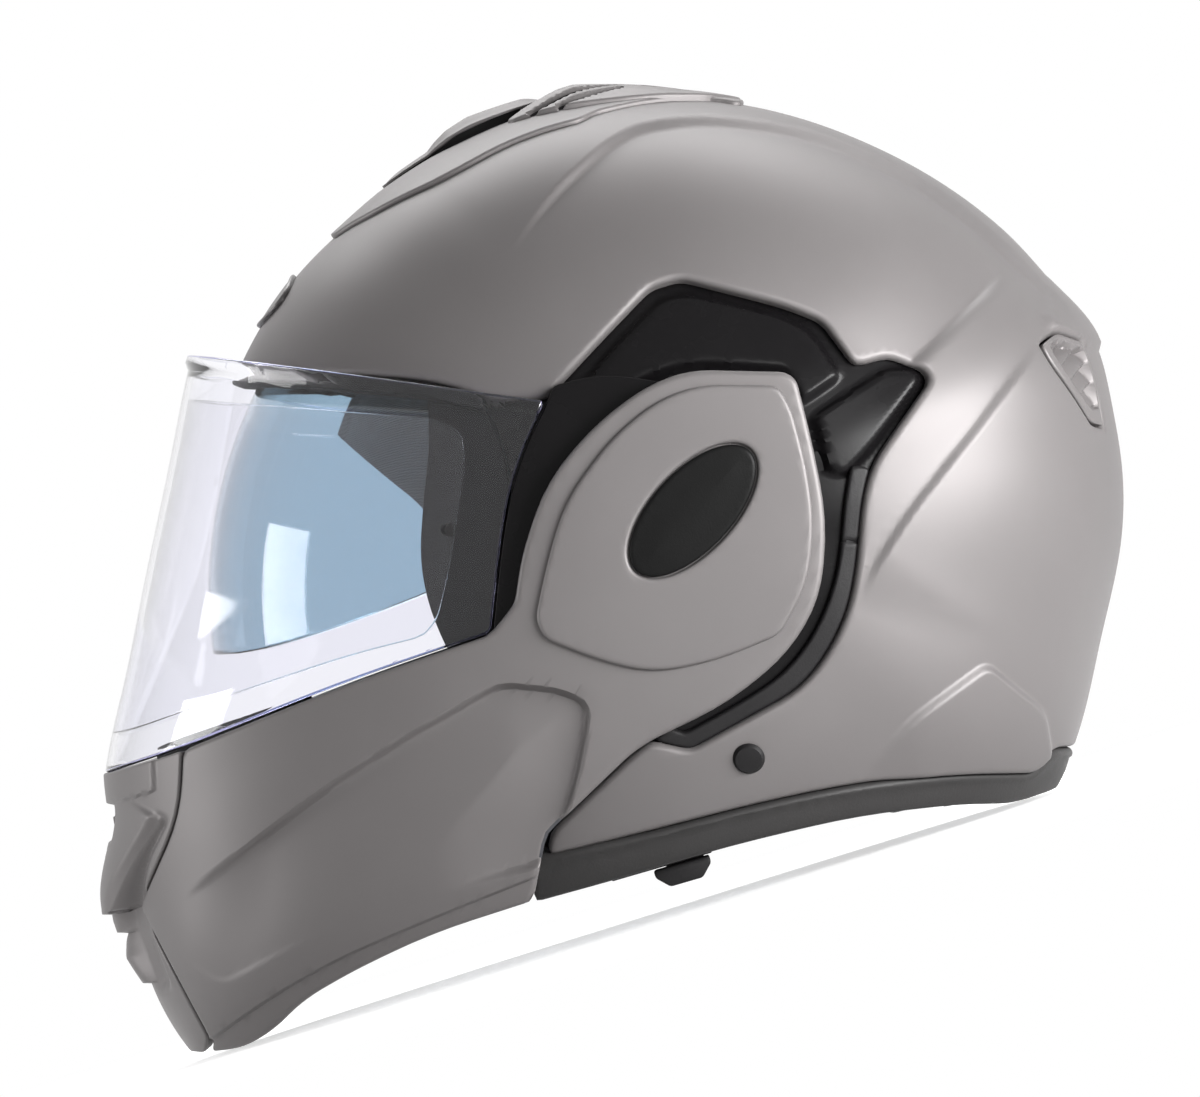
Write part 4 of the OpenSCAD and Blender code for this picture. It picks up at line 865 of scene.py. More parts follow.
crown_relief = crease(crown_fold, 2.5, 1.9, 60.0, 0.2)
shell_rows = (rows_by(crown_fold, (-2.4, -1.9, -1.3, -0.7, -0.1, 0.5, 1.2))
              + rows_by(light_fold, (-2.0, -1.0, 0.0, 0.8))
              + rows_by(neck_panel, (-1.8, -1.2, -0.6, 0.0, 0.6, 1.2, 1.8), closed=True)
              + rows_by(back_fold, (-1.0, 0.0, 1.0)))
shell_reliefs = [
    crown_relief,
    crease(back_fold, -1.8, 3.0, 40.0, 0.2, flip=True),
    crease(light_fold, 1.8, 3.0, 60.0, 0.2),
    island(neck_panel, 2.0, 3.0, fade=low_back),
    island(spoiler, 2.0, 2.0, fade=beside_vents),
    well]
panel("outer_shell", shell_grid, [inside_of(shell_outline), outside_rear_vent], [lacquer, laminate],
      "helmet", lip=2.2, thick=SHELL_WALL, extra_rows=shell_rows, reliefs=shell_reliefs)

# %% [markdown]
# The chin section turns on the two hinge posts and carries the visor. Its arms end in a round pod
# over each hinge. The fold along its cheek starts near the vent, climbs to the arm and turns down,
# which leaves a shallow field below it.

# %% Chin section
SEAM_PX = [(181, 749), (178, 815), (139, 900), (137, 910), (206, 1040)]
CHIN_TOP_PX = [(350, 681), (489, 634)]
ARM_PX = [
    (514, 603), (521, 555), (546, 480), (598, 421), (646, 386), (688, 370), (784, 372), (796, 380),
    (811, 440), (827, 520), (820, 598), (789, 652), (730, 702), (650, 741), (631, 754), (547, 835),
    (534, 902)]
CHIN_BOTTOM_PX = [(430, 936), (350, 975), (300, 1005), (270, 1036), (240, 1054), (216, 1059), (204, 1060)]
chin_outline = traced(SEAM_PX[::-1] + CHIN_TOP_PX + ARM_PX + CHIN_BOTTOM_PX, 8)
cheek_field = traced([(150, 935), (190, 893), (340, 775), (500, 684), (560, 690), (590, 704), (575, 790),
                          (545, 862), (440, 890), (330, 925), (220, 985)], 16)
cheek_edge = at([(190, 893), (340, 775), (500, 684), (560, 690), (590, 704), (575, 790), (552, 850)])


def near_fold(data):
    """The field is deep under the fold and runs out downward and forward."""
    far, _, _, _ = nearest(cheek_edge, data[:, SIDE], False)
    return (1 - smooth(4.0, 40.0, far)) * smooth(at([180, 0])[0], at([270, 0])[0], data[:, 0])


chin_skirt = traced([(180, 1090), (189, 1057), (260, 1004), (330, 962), (430, 918), (560, 866), (600, 1000),
                         (200, 1120)], 14)
chin_fold = traced([(186, 896), (340, 778), (500, 686)], 10, False)
chin_grid = dome(CHIN_RING, CHIN, 0.0, FULL_TURN, 2.6, reach=(0.0, 1.0))
chin_mats = [lacquer, laminate]
panel("chin_bar", chin_grid, [inside_of(chin_outline)], chin_mats, "chin_section",
      lip=1.8, thick=3.6, gap=0.3,
      extra_rows=rows_by(cheek_field, (-1.2, -0.4, 0.4, 1.2), closed=True)
      + rows_by(chin_skirt, (-0.6, 0.0, 0.6), closed=True),
      reliefs=[island(cheek_field, -3.4, 2.6, fade=near_fold), crease(chin_fold, 0.6, 3.0, 40.0, 0.2),
               island(chin_skirt, -1.5, 1.4)])

POD_PX = [
    (545, 638), (536, 618), (548, 560), (566, 500), (612, 438), (656, 402), (698, 386), (776, 387),
    (789, 408), (803, 458), (813, 520), (806, 585), (778, 634), (716, 660), (652, 672), (600, 660)]
POD_T, POD_LIFT = 2.0, 0.25
pod_outline = traced(POD_PX, 9)
cap_ring = at([692, 511])
CAP_LONG, CAP_SHORT, CAP_TILT = 27.0, 13.0, 47.0
OVAL_POINTS = 96


def oval(centre, long, short, tilt):
    """A tilted ellipse round a place."""
    a = np.linspace(0, 2 * math.pi, OVAL_POINTS, endpoint=False)
    c, s = math.cos(math.radians(tilt)), math.sin(math.radians(tilt))
    return centre + np.stack([long * np.cos(a) * c - short * np.sin(a) * s,
                              long * np.cos(a) * s + short * np.sin(a) * c], -1)


cap_seat = oval(cap_ring, CAP_LONG + 0.5, CAP_SHORT + 0.5, CAP_TILT)
cap_outline = oval(cap_ring, CAP_LONG, CAP_SHORT, CAP_TILT)
pod_grid = dome(CHIN_RING, CHIN, 0.0, FULL_TURN, 1.7, reach=(0.0, 0.33))
panel("pod_cover", pod_grid, [inside_of(pod_outline), inside_of(cap_seat, flip=True)], [lacquer],
      "chin_section", lift=POD_T + POD_LIFT, lip=1.3, thick=POD_T, spans=False)
panel("pod_cap", pod_grid, [inside_of(cap_outline)], [abs_cap], "chin_section",
      lift=POD_T + POD_LIFT + 0.5, lip=1.2, thick=2.2, spans=False,
      reliefs=[lambda data, edge: 0.5 * smooth(0, 12, edge)])

# %% [markdown]
# The clear visor is injection-moulded polycarbonate with a hard coat. It is thin and even, with a
# raised lip along its top edge that a gloved finger lifts. Its edges are what one sees most.

# %% Visors
VISOR_T = 2.0
lens_outline = traced([(-60, 330), (183, 353), (300, 368), (545, 402), (522, 450), (507, 500), (498, 560),
                           (491, 632), (350, 679), (182, 747), (100, 774), (-60, 830)], 5)
lens_grid = dome(VISOR_RING, VISOR, 0.0, (130, 222), 2.2, reach=(0.1, 1.0))
lip_line = traced([(-60, 348), (183, 363), (300, 379), (535, 412)], 10, False)
panel("visor_lens", lens_grid, [inside_of(lens_outline)], [polycarbonate, polycarbonate, visor_edge],
      "clear_visor", lip=0.7, thick=VISOR_T, lip_in=0.7,
      reliefs=[crease(lip_line, 1.6, 1.6, 30.0, 0.0)])
PLATE_PX = [
    (547, 402), (553, 386), (600, 374), (652, 380), (720, 396), (790, 440), (812, 505), (800, 570),
    (740, 618), (650, 634), (560, 634), (493, 632), (500, 560), (509, 500), (524, 450)]
plate_grid = dome(VISOR_RING, VISOR, 0.0, FULL_TURN, 2.0, reach=(0.0, 0.42))
panel("visor_plate", plate_grid, [within(PLATE_PX, 6)], [abs_black], "clear_visor",
      lip=0.8, thick=2.0, spans=False, gap=0.15)
antifog_outline = traced([(-60, 384), (180, 398), (300, 408), (440, 420), (462, 432), (466, 460), (452, 560),
                              (438, 620), (425, 636), (350, 655), (182, 712), (120, 736), (-60, 770)], 9)
panel("antifog_lens", dome(VISOR_RING, VISOR, VISOR_T + 0.15, (134, 218), 2.6, reach=(0.1, 1.0)),
      [inside_of(antifog_outline)], [fog_film], "clear_visor", lip=0.4, thick=1.0,
      lip_in=0.4)
SUN_RADIUS, SUN_T = 147.0, 1.8


def sun_radius(a):
    return np.full_like(np.asarray(a, float), SUN_RADIUS)


sun_outline = traced([
    (-60, 620), (120, 640), (215, 661), (300, 640), (400, 604), (490, 566), (560, 590), (640, 628),
    (694, 612), (696, 570), (650, 546), (590, 505), (540, 440), (500, 385), (420, 345), (300, 335),
    (-60, 335)], 14)
sun_grid = dome(sun_radius, SUN, 0.0, (136, 216), 2.4, reach=(0.004, 1.0), centre=at(SUN_PX))
panel("sun_visor", sun_grid, [inside_of(sun_outline)], [sun_tint], "sun_visor",
      lip=0.7, thick=SUN_T, lip_in=0.7)

# %% [markdown]
# Behind the arms lie black moulded trays: when the chin section is flipped back, the corner of each
# arm drops into the notch at their rear. A separate matt strip closes each tray's rear edge.

# %% Recess trays, strips and edge trim
TRAY_OFF, TRAY_T, STRIP_OFF = 4.7, 2.4, 1.7
TRAY_PX = [
    (492, 420), (480, 386), (535, 383), (590, 327), (642, 275), (682, 263), (790, 291), (833, 309),
    (862, 347), (892, 339), (935, 356), (948, 382), (886, 472), (877, 503), (871, 573), (862, 616),
    (843, 659), (808, 703), (692, 766), (645, 756), (560, 728), (492, 708), (494, 640), (503, 560),
    (512, 470)]
tray_step = traced([(560, 416), (612, 352), (660, 304), (686, 297), (778, 318), (808, 334), (838, 378),
                        (800, 404), (784, 372), (688, 366), (640, 382), (592, 416)], 8)
notch = traced([
    (812, 418), (842, 398), (884, 372), (912, 372), (918, 382), (866, 452), (842, 476), (826, 470)], 6)
tray_grid = dome(SHELL_RING, SHELL, TRAY_OFF, FULL_TURN, 2.0, reach=(0.0, 0.93))
panel("recess_tray", tray_grid, [within(TRAY_PX, 8)], [abs_black], "helmet",
      lip=0.8, thick=TRAY_T, spans=False,
      reliefs=[island(tray_step, 2.2, 3.0), island(notch, 2.4, 2.6)])
STRIP_PX = [
    (867, 468), (859, 502), (853, 568), (845, 608), (827, 648), (797, 687), (740, 719), (690, 747),
    (652, 739), (668, 725), (684, 731), (728, 707), (778, 676), (808, 640), (827, 600), (837, 560),
    (842, 500), (848, 466)]
split_mark = at([(828, 541), (872, 541)])


def split_cut(data, edge):
    """A fine cut across the strip, where its two lengths meet."""
    far, _, _, _ = nearest(split_mark, data[:, SIDE], False)
    return -0.8 * (1 - smooth(0.3, 0.8, far))


panel("recess_trim", tray_grid, [within(STRIP_PX, 5)], [nylon_black], "helmet",
      lift=TRAY_OFF - STRIP_OFF, lip=1.2, thick=2.8, spans=False,
      reliefs=[split_cut])

TRIM_BOTTOM_PX = [
    (1073, 787), (1060, 792), (1036, 799), (1030, 801), (1008, 806), (960, 806), (860, 816), (730, 846),
    (620, 879), (534, 903)]
trim_outline = traced([(532, 855), (550, 853), (640, 835), (760, 804), (860, 784), (960, 774), (1034, 774),
                           (1058, 751), (1240, 749), (1240, 790)] + TRIM_BOTTOM_PX, 6)
trim_grid = dome(SHELL_RING, SHELL, 0.0, (-128, -18), 2.2, reach=(0.4, 1.0))
trim_groove = traced([(533, 868), (640, 842), (760, 811), (860, 791), (960, 781), (1036, 781), (1062, 759),
                          (1240, 757)], 10, False)
panel("lower_edge_trim", trim_grid, [inside_of(trim_outline)], [pvc_trim], "helmet",
      lift=0.6, lip=2.2, thick=6.6, lip_in=1.5,
      reliefs=[crease(trim_groove, -0.6, 0.8, 5.0, 0.02, flip=True)])

# %% [markdown]
# The crown vent is three mouldings on top of each other: a flat base that follows the shell, a
# cover with a fin on each side, and the slider between the fins. Their heights over the shell are
# read along the outline of the helmet, and the outlines of cover and slider are drawn from above.

# %% Crown vent
def profile(px_and_rise):
    """Height along the helmet, given at pixels of the side view."""
    x = at([(px, 0) for px, _ in px_and_rise])[:, 0]
    rise = [r for _, r in px_and_rise]
    return lambda data: np.interp(data[:, 0], x, rise)


CROWN_BASE_PX = [
    (330, 238), (352, 224), (366, 217), (402, 198), (438, 182), (502, 150), (540, 137), (582, 127),
    (596, 119), (646, 107), (700, 103), (744, 110), (760, 60), (330, 60)]
crown_grid = dome(SHELL_RING, SHELL, 0.0, (70, 150), 1.1, reach=(0.84, 1.0))
panel("crown_vent_base", crown_grid, [within(CROWN_BASE_PX, 7), inside_of(slider_well, PLAN, flip=True)],
      [lacquer], "helmet", lift=1.6, lip=1.1, thick=1.5, reliefs=[crown_relief])
fin_rise = profile([
    (505, 0.8), (530, 3.6), (560, 5.6), (577, 5.9), (600, 4.6), (646, 2.9), (683, 1.3), (744, 0.5)])
cover_plan = rounded([
    (-63, -21), (-62, -25), (-46, -31), (-18, -28), (4, -17), (14, 0), (14, 17), (4, 28), (-18, 31),
    (-46, 31), (-62, 25), (-63, 21), (-50, 18), (-38, 12), (-33, 4), (-33, -4), (-38, -12), (-50, -18)], 5)


def fins(data, edge):
    return fin_rise(data) * (0.3 + 0.7 * smooth(31, 15, aside(data)))


def strip(line, wide):
    """A narrow outline along a line."""
    line = np.asarray(line, float)
    way = np.gradient(line, axis=0)
    way /= np.linalg.norm(way, axis=1, keepdims=True)
    out = np.column_stack([-way[:, 1], way[:, 0]]) * np.linspace(*wide, len(line))[:, None]
    return np.vstack([line + out, (line - out)[::-1]])


slots = [strip([(-55, -27.5), (-48, -24.4), (-40, -20.6), (-32, -16.6), (-25, -12.8)], (1.3, 0.7)),
         strip([(-46, -29.5), (-39, -26.0), (-32, -22.2), (-25, -18.4)], (1.1, 0.6)),
         strip([(-18, -12.5), (-11, -12.0), (-4, -11.0)], (0.8, 0.6))]
# The faces inside the slots take the matt black nylon as painted shade, so that the sunk slots read as dark
# openings.
panel("crown_vent_cover", crown_grid, [inside_of(cover_plan, PLAN)], [lacquer, nylon_black], "helmet",
      lift=1.7, lip=1.0, thick=0.2, painted_shade_at=[inside_of(s, PLAN) for s in slots],
      reliefs=[crown_relief, fins] + [island(s, -2.4, 0.7, PLAN) for s in slots])
blade_top = profile([
    (386, 0.8), (392, 1.4), (430, 1.9), (440, 3.6), (453, 5.2), (475, 6.2), (502, 5.6), (540, 5.0),
    (552, 4.2)])
blade_gap = profile([(386, 0.2), (430, 0.3), (446, 1.2), (460, 2.4), (500, 2.6), (552, 2.4)])


def over_blade(data, edge):
    """The slider is highest in its middle."""
    return blade_top(data) * (0.62 + 0.38 * smooth(0, 8, edge))


def under_blade(data, edge):
    """Its underside stays clear of the base and follows the fold. Less than nothing is upward."""
    return -blade_gap(data) - crown_relief(data, edge)


blade_plan = rounded([
    (-104, -7), (-99, -10), (-87, -11), (-80, -15), (-63, -15), (-52, -9), (-49, 0), (-52, 9), (-63, 15),
    (-80, 15), (-87, 11), (-99, 10), (-104, 7)], 5)
panel("crown_vent_slider", crown_grid, [inside_of(blade_plan, PLAN)], [lacquer], "crown_slider",
      lift=1.7, lip=0.8, thick=under_blade, lip_in=0.5, reliefs=[crown_relief, over_blade])
stem_plan = rounded([(-99, -6), (-90, -8), (-58, -8), (-58, 8), (-90, 8), (-99, 6)], 3)
stem_top = profile([(400, 1.9), (430, 2.2), (436, 2.6), (446, 3.3), (460, 4.4), (545, 4.6)])
panel("crown_vent_stem", crown_grid, [inside_of(stem_plan, PLAN)], [nylon_black], "crown_slider",
      lift=0.0, lip=0.3, thick=lambda data, edge: -0.6 - crown_relief(data, edge),
      reliefs=[crown_relief, lambda data, edge: stem_top(data)], stands_for=False)

# %% [markdown]
# The exhaust vents at the back sit flush in the shell. Slats step down one behind the other like
# the teeth of a saw, which is a relief on the surface here: a repeating ramp across the slats.

# %% Rear vents
FIELD_PX = [(1049, 346), (1057, 338), (1096, 352), (1106, 408), (1092, 410), (1076, 388), (1058, 362)]
rear_field = traced(FIELD_PX, 4)
slat_way = np.array([0.8, 0.58])
SLAT_MM, SLAT_RISE, SLAT_DEEP = 5.4, 3.0, 3.6
SLATS_Y = (43, 75)


def slats(data, edge):
    """Each slat rises slowly and drops fast to the next."""
    along = (data[:, SIDE] * slat_way * [1, -1]).sum(-1)
    far, side, _, _ = nearest(rear_field, data[:, SIDE], True)
    from_ends = np.minimum(aside(data) - SLATS_Y[0], SLATS_Y[1] - aside(data))
    inner = smooth(0.0, 0.8, np.minimum(far * side, from_ends))
    ramp = (along / SLAT_MM) % 1.0
    return inner * (-SLAT_DEEP + SLAT_RISE * np.minimum(ramp / 0.85, (1 - ramp) / 0.15)) + 0.5 * (1 - inner)


rear_grid = dome(SHELL_RING, SHELL, 0.0, (8, 40), 0.8, reach=(0.7, 1.0))
panel("rear_vent", rear_grid, [inside_of(rear_outline), band_y(*REAR_Y)], [lacquer], "helmet",
      lip=0.8, thick=5.0, spans=False, gap=0.7, reliefs=[slats])

# %% [markdown]
# The oval plate on the forehead is a separate casting, set on the shell. Its field is bare.

# %% Forehead plate
plate_middle = at([(265, 300)])[0]
PLATE_HALF = (8.6, 25.5)
plate_oval = oval(np.array([plate_middle[1], 0.0]), *PLATE_HALF, 0.0)
plate_field = oval(np.array([plate_middle[1], 0.0]), PLATE_HALF[0] - 1.3, PLATE_HALF[1] - 1.6, 0.0)
panel("forehead_badge", dome(SHELL_RING, SHELL, 0.0, (135, 175), 0.8, reach=(0.9, 1.0)),
      [inside_of(plate_oval, FRONT)], [badge_metal], "helmet",
      lift=1.6, lip=0.7, thick=1.5, reliefs=[island(plate_field, -0.5, 0.8, FRONT)])

# %% [markdown]
# The chin vent is one painted moulding. A wing sweeps forward from each cheek to a blunt beak, a
# toothed block hangs under the beak, and a deep groove parts both from the flat band beside the
# seam. All of it is height over the chin's surface, measured from lines drawn in the side view.

# %% Chin vent
FRAME_PX = [
    (60, 782), (99, 776), (140, 764), (181, 750), (178, 815), (139, 900), (137, 910), (206, 1040),
    (203, 1057), (60, 1060)]
WING_PX = [(159, 816), (147, 837), (136, 859), (130, 884), (129, 908)]
GROOVE_PX = [(163, 812), (151, 836), (140, 858), (133, 886), (139, 930), (149, 960), (165, 1000)]
LIP_PX = [(60, 770), (153, 740), (155, 791), (60, 820)]
MOUTH_PX = (808, 842)
MOUTH_HALF = 25.0
wing_line = traced(WING_PX, 8, False)
groove_line = traced(GROOVE_PX, 8, False)
block_rise = np.array([(905, 0.0), (911, 0.2), (914, 6.4), (932, 7.0), (935, 3.0), (941, 4.2), (958, 5.4),
                       (984, 2.8), (987, 0.0)])
STEP_LEVELS_PX = (911, 914, 932, 935, 984, 987)


def level_row(z_px):
    """An extra row of points at one height."""
    return lambda data: data[:, 2] - level(z_px)


def wing(data, edge):
    """Highest at the beak, with a sharp edge towards the groove and a long slope forward."""
    far, side, along, _ = nearest(wing_line, data[:, SIDE], False)
    d = -far * side
    shape = np.where(d > 0, 1 - smooth(0, 17, d), 1 - smooth(0, 1.4, -d))
    grow = 1.6 + 4.6 * smooth(0.1, 0.95, along) + 3.4 * smooth(44, 6, aside(data))
    return shape * grow * smooth(0, 0.06, along) * smooth(level(914), level(911), data[:, 2])


def groove(data, edge):
    """The deep line that parts wing and block from the band at the seam."""
    far, _, along, _ = nearest(groove_line, data[:, SIDE], False)
    return -2.6 * (1 - smooth(0.6, 3.2, far)) * smooth(0, 0.08, along) * smooth(0, 0.1, 1 - along)


def block(data, edge):
    """The teeth under the beak step in and out with height."""
    far, side, _, _ = nearest(groove_line, data[:, SIDE], False)
    inner = smooth(2.0, 3.4, far) * (side < 0)
    z_px = HINGE_PX[1] - data[:, 2] / MM_PER_PX
    rise = np.interp(z_px, block_rise[:, 0], block_rise[:, 1])
    return rise * inner * smooth(30, 14, aside(data) - 4 * (z_px > 934))


def thin_by_mouth(data, edge):
    """The wall is thinner round the mouth, so that the flap behind it has room to slide."""
    z_px = HINGE_PX[1] - data[:, 2] / MM_PER_PX
    inner = smooth(36, 32, aside(data)) * smooth(768, 776, z_px) * smooth(868, 860, z_px)
    return 3.4 - 2.2 * inner


def slab(top, bottom, half_top, half_bottom):
    """Four corners seen from the front, from two heights and two half widths."""
    return np.array([(top, -half_top), (bottom, -half_bottom), (bottom, half_bottom), (top, half_top)])


mouth = slab(level(MOUTH_PX[0]), level(MOUTH_PX[1]), MOUTH_HALF, MOUTH_HALF - 5)
panel("chin_vent_frame", dome(CHIN_RING, CHIN, 0.0, (190, 242), 0.9, reach=(0.55, 1.0)),
      [within(FRAME_PX, 5), inside_of(rounded(mouth, 3), FRONT, flip=True)], chin_mats, "chin_section",
      lip=0.9, thick=thin_by_mouth, gap=0.2,
      extra_rows=[level_row(z) for z in STEP_LEVELS_PX] + rows_by(wing_line, (0.0, 0.7, 1.4)),
      reliefs=[wing, groove, block, island(traced(LIP_PX, 3), 1.2, 0.9)])

FLAP_PX = (801, 853)
FLAP_HALF = 29.0
LUG_TALL, LUG_WIDE = 2, 7
flap = slab(level(FLAP_PX[0]), level(FLAP_PX[1]), FLAP_HALF, FLAP_HALF)
flap_middle = at([0, sum(MOUTH_PX) / 2])[1]
lug = slab(flap_middle - LUG_TALL, flap_middle + LUG_TALL, LUG_WIDE, LUG_WIDE)
panel("chin_vent_shutter", dome(CHIN_RING, CHIN, 0.0, (195, 225), 0.8, reach=(0.8, 1.0)),
      [inside_of(rounded(flap, 3), FRONT)], [lacquer], "chin_shutter",
      lift=-1.6, lip=0.4, thick=1.2,
      reliefs=[island(rounded(lug, 1.5), 1.4, 0.8, FRONT)])

# %% [markdown]
# A rubber profile edges the eye port. It laps the brow and runs down both sides behind the visor.

# %% Eye port edge
BROW_PX = [
    (-200, 375), (250, 372), (340, 375), (430, 382), (484, 398), (484, 412), (430, 393), (340, 386),
    (250, 383), (-200, 386)]
SIDE_BAND_PX = [
    (428, 394), (478, 398), (491, 420), (511, 470), (502, 560), (493, 640), (485, 676), (472, 680),
    (450, 655), (430, 610), (420, 560), (424, 500), (430, 450)]
gasket_grid = dome(SHELL_RING, SHELL, 0.0, (130, 175), 2.0, reach=(0.2, 1.0))
panel("eyeport_gasket", gasket_grid, [within(BROW_PX, 5)], [rubber], "helmet", lift=0.8,
      lip=1.2, thick=5.4, lip_in=1.2)
panel("eyeport_edge", dome(SHELL_RING, SHELL, 3.2, (120, 230), 2.0, reach=(0.2, 0.9)),
      [within(SIDE_BAND_PX, 5)], [rubber], "helmet", lift=0.0, lip=0.8, thick=1.9,
      spans=False, lip_in=0.8, stands_for=False)

# %% [markdown]
# Hardware. Pressed, turned and moulded parts keep the shape of the frame, because that is where
# they fit. What they lack is the small radius that every real edge has, and which catches light,
# so each is copied, its edges are rounded with a bevel, and the copy stands for the solid.

# %% Rounded hardware
BEVEL_STEPS = 3
WELD_M = 0.00002


def softened(node_name, radius_mm, mat, body):
    """A copy of a solid with small rounded edges, which stands for it."""
    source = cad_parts[node_name]
    mesh = source.data.copy()
    mesh.name = node_name + MADE
    mesh.transform(source.matrix_world)
    mesh.materials.clear()
    mesh.materials.append(mat)
    obj = in_scene(node_name + MADE, mesh)
    work = bmesh.new()
    work.from_mesh(mesh)
    bmesh.ops.remove_doubles(work, verts=work.verts, dist=WELD_M)
    bmesh.ops.dissolve_limit(work, angle_limit=math.radians(1.5), verts=work.verts, edges=work.edges)
    work.to_mesh(mesh)
    work.free()
    bevel = obj.modifiers.new("edges", "BEVEL")
    bevel.width = radius_mm * MM
    bevel.segments = BEVEL_STEPS
    bevel.limit_method = "ANGLE"
    bevel.angle_limit = math.radians(40)
    applied(obj)
    for face in obj.data.polygons:
        face.material_index = 0
    obj.data.shade_smooth()
    obj.data.set_sharp_from_angle(angle=math.radians(35))
    adopt(obj, body, [node_name])


def applied(obj):
    """Turn the modifiers of a piece into its mesh."""
    view = bpy.context.evaluated_depsgraph_get()
    mesh = bpy.data.meshes.new_from_object(obj.evaluated_get(view))
    obj.modifiers.clear()
    old = obj.data
    obj.data = mesh
    mesh.name = old.name
    bpy.data.meshes.remove(old)


for side in BOTH:
    for name, radius_mm, body in (("hinge_post", 0.5, "helmet"), ("hinge_plate", 0.3, "helmet"),
                                  ("latch_striker", 0.3, "helmet"), ("latch_hook", 0.3, "latch_hooks"),
                                  ("strap_anchor", 0.3, "helmet")):
        softened(name + side, radius_mm, steel, body)
    softened("strap_rivet" + side, 0.35, nylon_black, "helmet")
    softened("sun_pivot" + side, 0.4, nylon_black, "helmet")
softened("sun_slider_rail", 0.5, nylon_black, "helmet")
softened("sun_slider_knob", 0.8, nylon_black, "sun_slider")
softened("buckle_body", 1.0, nylon_black, "helmet")
softened("buckle_lever", 0.35, steel, "buckle_lever")
softened("buckle_tongue", 0.2, nylon_grey, "helmet")
softened("release_button", 1.2, button_red, "release_button")
softened("antifog_pin", 0.2, nylon_black, "clear_visor")
softened("breath_deflector", 0.5, rubber, "chin_section")

# %% [markdown]
# The foam blocks are polystyrene beads steamed in a mould. Their shape is in the frame and is right
# as it is, so they keep it and get the bead pattern.

# %% Foam blocks
for foam_node in ("eps_liner", "cheek_block_left", "cheek_block_right", "chin_liner"):
    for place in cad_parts[foam_node].material_slots:
        place.material = bead_foam

# %% [markdown]
# Padded pieces are fabric sewn round soft foam. A closed form a little too small is remeshed into
# even cells, and Blender's Cloth blows it up gently with no gravity, which gives the fabric its
# full, rounded pull between the seams. The move is capped, so that a pad stays clear of the foam
# beside it. Seams are pressed in afterwards, because an even remesh would wipe them out.

# %% Padded forms
def points_of(obj, kind="co"):
    out = np.empty(len(obj.data.vertices) * 3)
    if kind == "co":
        obj.data.vertices.foreach_get("co", out)
    else:
        obj.data.vertex_normals.foreach_get("vector", out)
    return out.reshape(-1, 3)


def set_points(obj, points):
    obj.data.vertices.foreach_set("co", np.asarray(points, float).ravel())
    obj.data.update()


CLOTH_FRAMES = 20


def swelled(obj, cell_mm, pressure, cap_mm):
    """Remesh a closed form, blow it up gently, cap the move and smooth the cells."""
    even = obj.modifiers.new("even", "REMESH")
    even.mode = "VOXEL"
    even.voxel_size = cell_mm * MM
    applied(obj)
    before = points_of(obj)
    fabric = obj.modifiers.new("fabric", "CLOTH").settings
    fabric.use_pressure = True
    fabric.uniform_pressure_force = pressure
    fabric.effector_weights.gravity = 0
    fabric.mass = 0.4
    fabric.tension_stiffness = 20
    fabric.compression_stiffness = 20
    for step in range(1, CLOTH_FRAMES + 1):
        bpy.context.scene.frame_set(step)
    applied(obj)
    bpy.context.scene.frame_set(1)
    move = points_of(obj) - before
    far = np.linalg.norm(move, axis=1, keepdims=True)
    set_points(obj, before + move * np.minimum(1, cap_mm * MM / np.maximum(far, 1e-9)))
    print(obj.name, "moved at most", round(far.max() / MM, 1), "mm before the cap")
    soft = obj.modifiers.new("soft", "SMOOTH")
    soft.iterations = 3
    fine = obj.modifiers.new("fine", "SUBSURF")
    fine.levels = 1
    applied(obj)
    obj.data.shade_smooth()


def pressed(obj, fields, depth_mm, half_mm):
    """Press a seam in wherever one of the fields passes zero."""
    co, normal = points_of(obj), points_of(obj, "normal")
    here = unplaced(co)
    near = np.min([np.abs(f(here)) for f in fields], axis=0)
    set_points(obj, co - normal * (depth_mm * MM * (1 - smooth(0, half_mm, near)))[:, None])


def pillow(name, outline, seat, layers, mat):
    """A crowned closed form: the outline, drawn in towards its middle layer by layer."""
    middle = outline.mean(0)
    n = len(outline)
    rings = [np.column_stack([middle[0] + (outline[:, 0] - middle[0]) * s, np.full(n, seat + rise),
                              middle[1] + (outline[:, 1] - middle[1]) * s]) for s, rise in layers]
    points = np.vstack(rings + [[[middle[0], seat + layers[0][1], middle[1]]],
                                [[middle[0], seat + layers[-1][1], middle[1]]]])
    faces = []
    for ring in range(len(layers) - 1):
        for i in range(n):
            j = (i + 1) % n
            faces.append([ring * n + i, ring * n + j, (ring + 1) * n + j, (ring + 1) * n + i])
    last = (len(layers) - 1) * n
    for i in range(n):
        j = (i + 1) % n
        faces.append([j, i, len(points) - 2])
        faces.append([last + i, last + j, len(points) - 1])
    return to_object(name, placed(points), faces, [mat], None, 180)


# %% Cheek pads
PAD_PX = [
    (470, 650), (520, 606), (620, 622), (680, 640), (702, 660), (704, 812), (640, 836), (560, 850),
    (505, 810), (475, 740)]
PAD_SEAT = -92.0
PAD_LAYERS = [
    (0.86, 0.6), (0.95, 1.4), (0.975, 5.0), (0.975, 10.0), (0.93, 17.0), (0.8, 21.5), (0.55, 23.6),
    (0.25, 24.0)]
pad_outline = traced(PAD_PX, 14, pieces=9)
pad_middle = pad_outline.mean(0)


def round_pad(p):
    """A seam along the side of the pad, where its face begins."""
    return p[:, 1] - (PAD_SEAT + 17.5)


def across_pad(p):
    """A seam that leans across the face of the pad and stops at its side."""
    lean = p[:, 0] - pad_middle[0] + 0.35 * (p[:, 2] - pad_middle[1])
    return np.where(p[:, 1] > PAD_SEAT + 18, lean, 9.0)


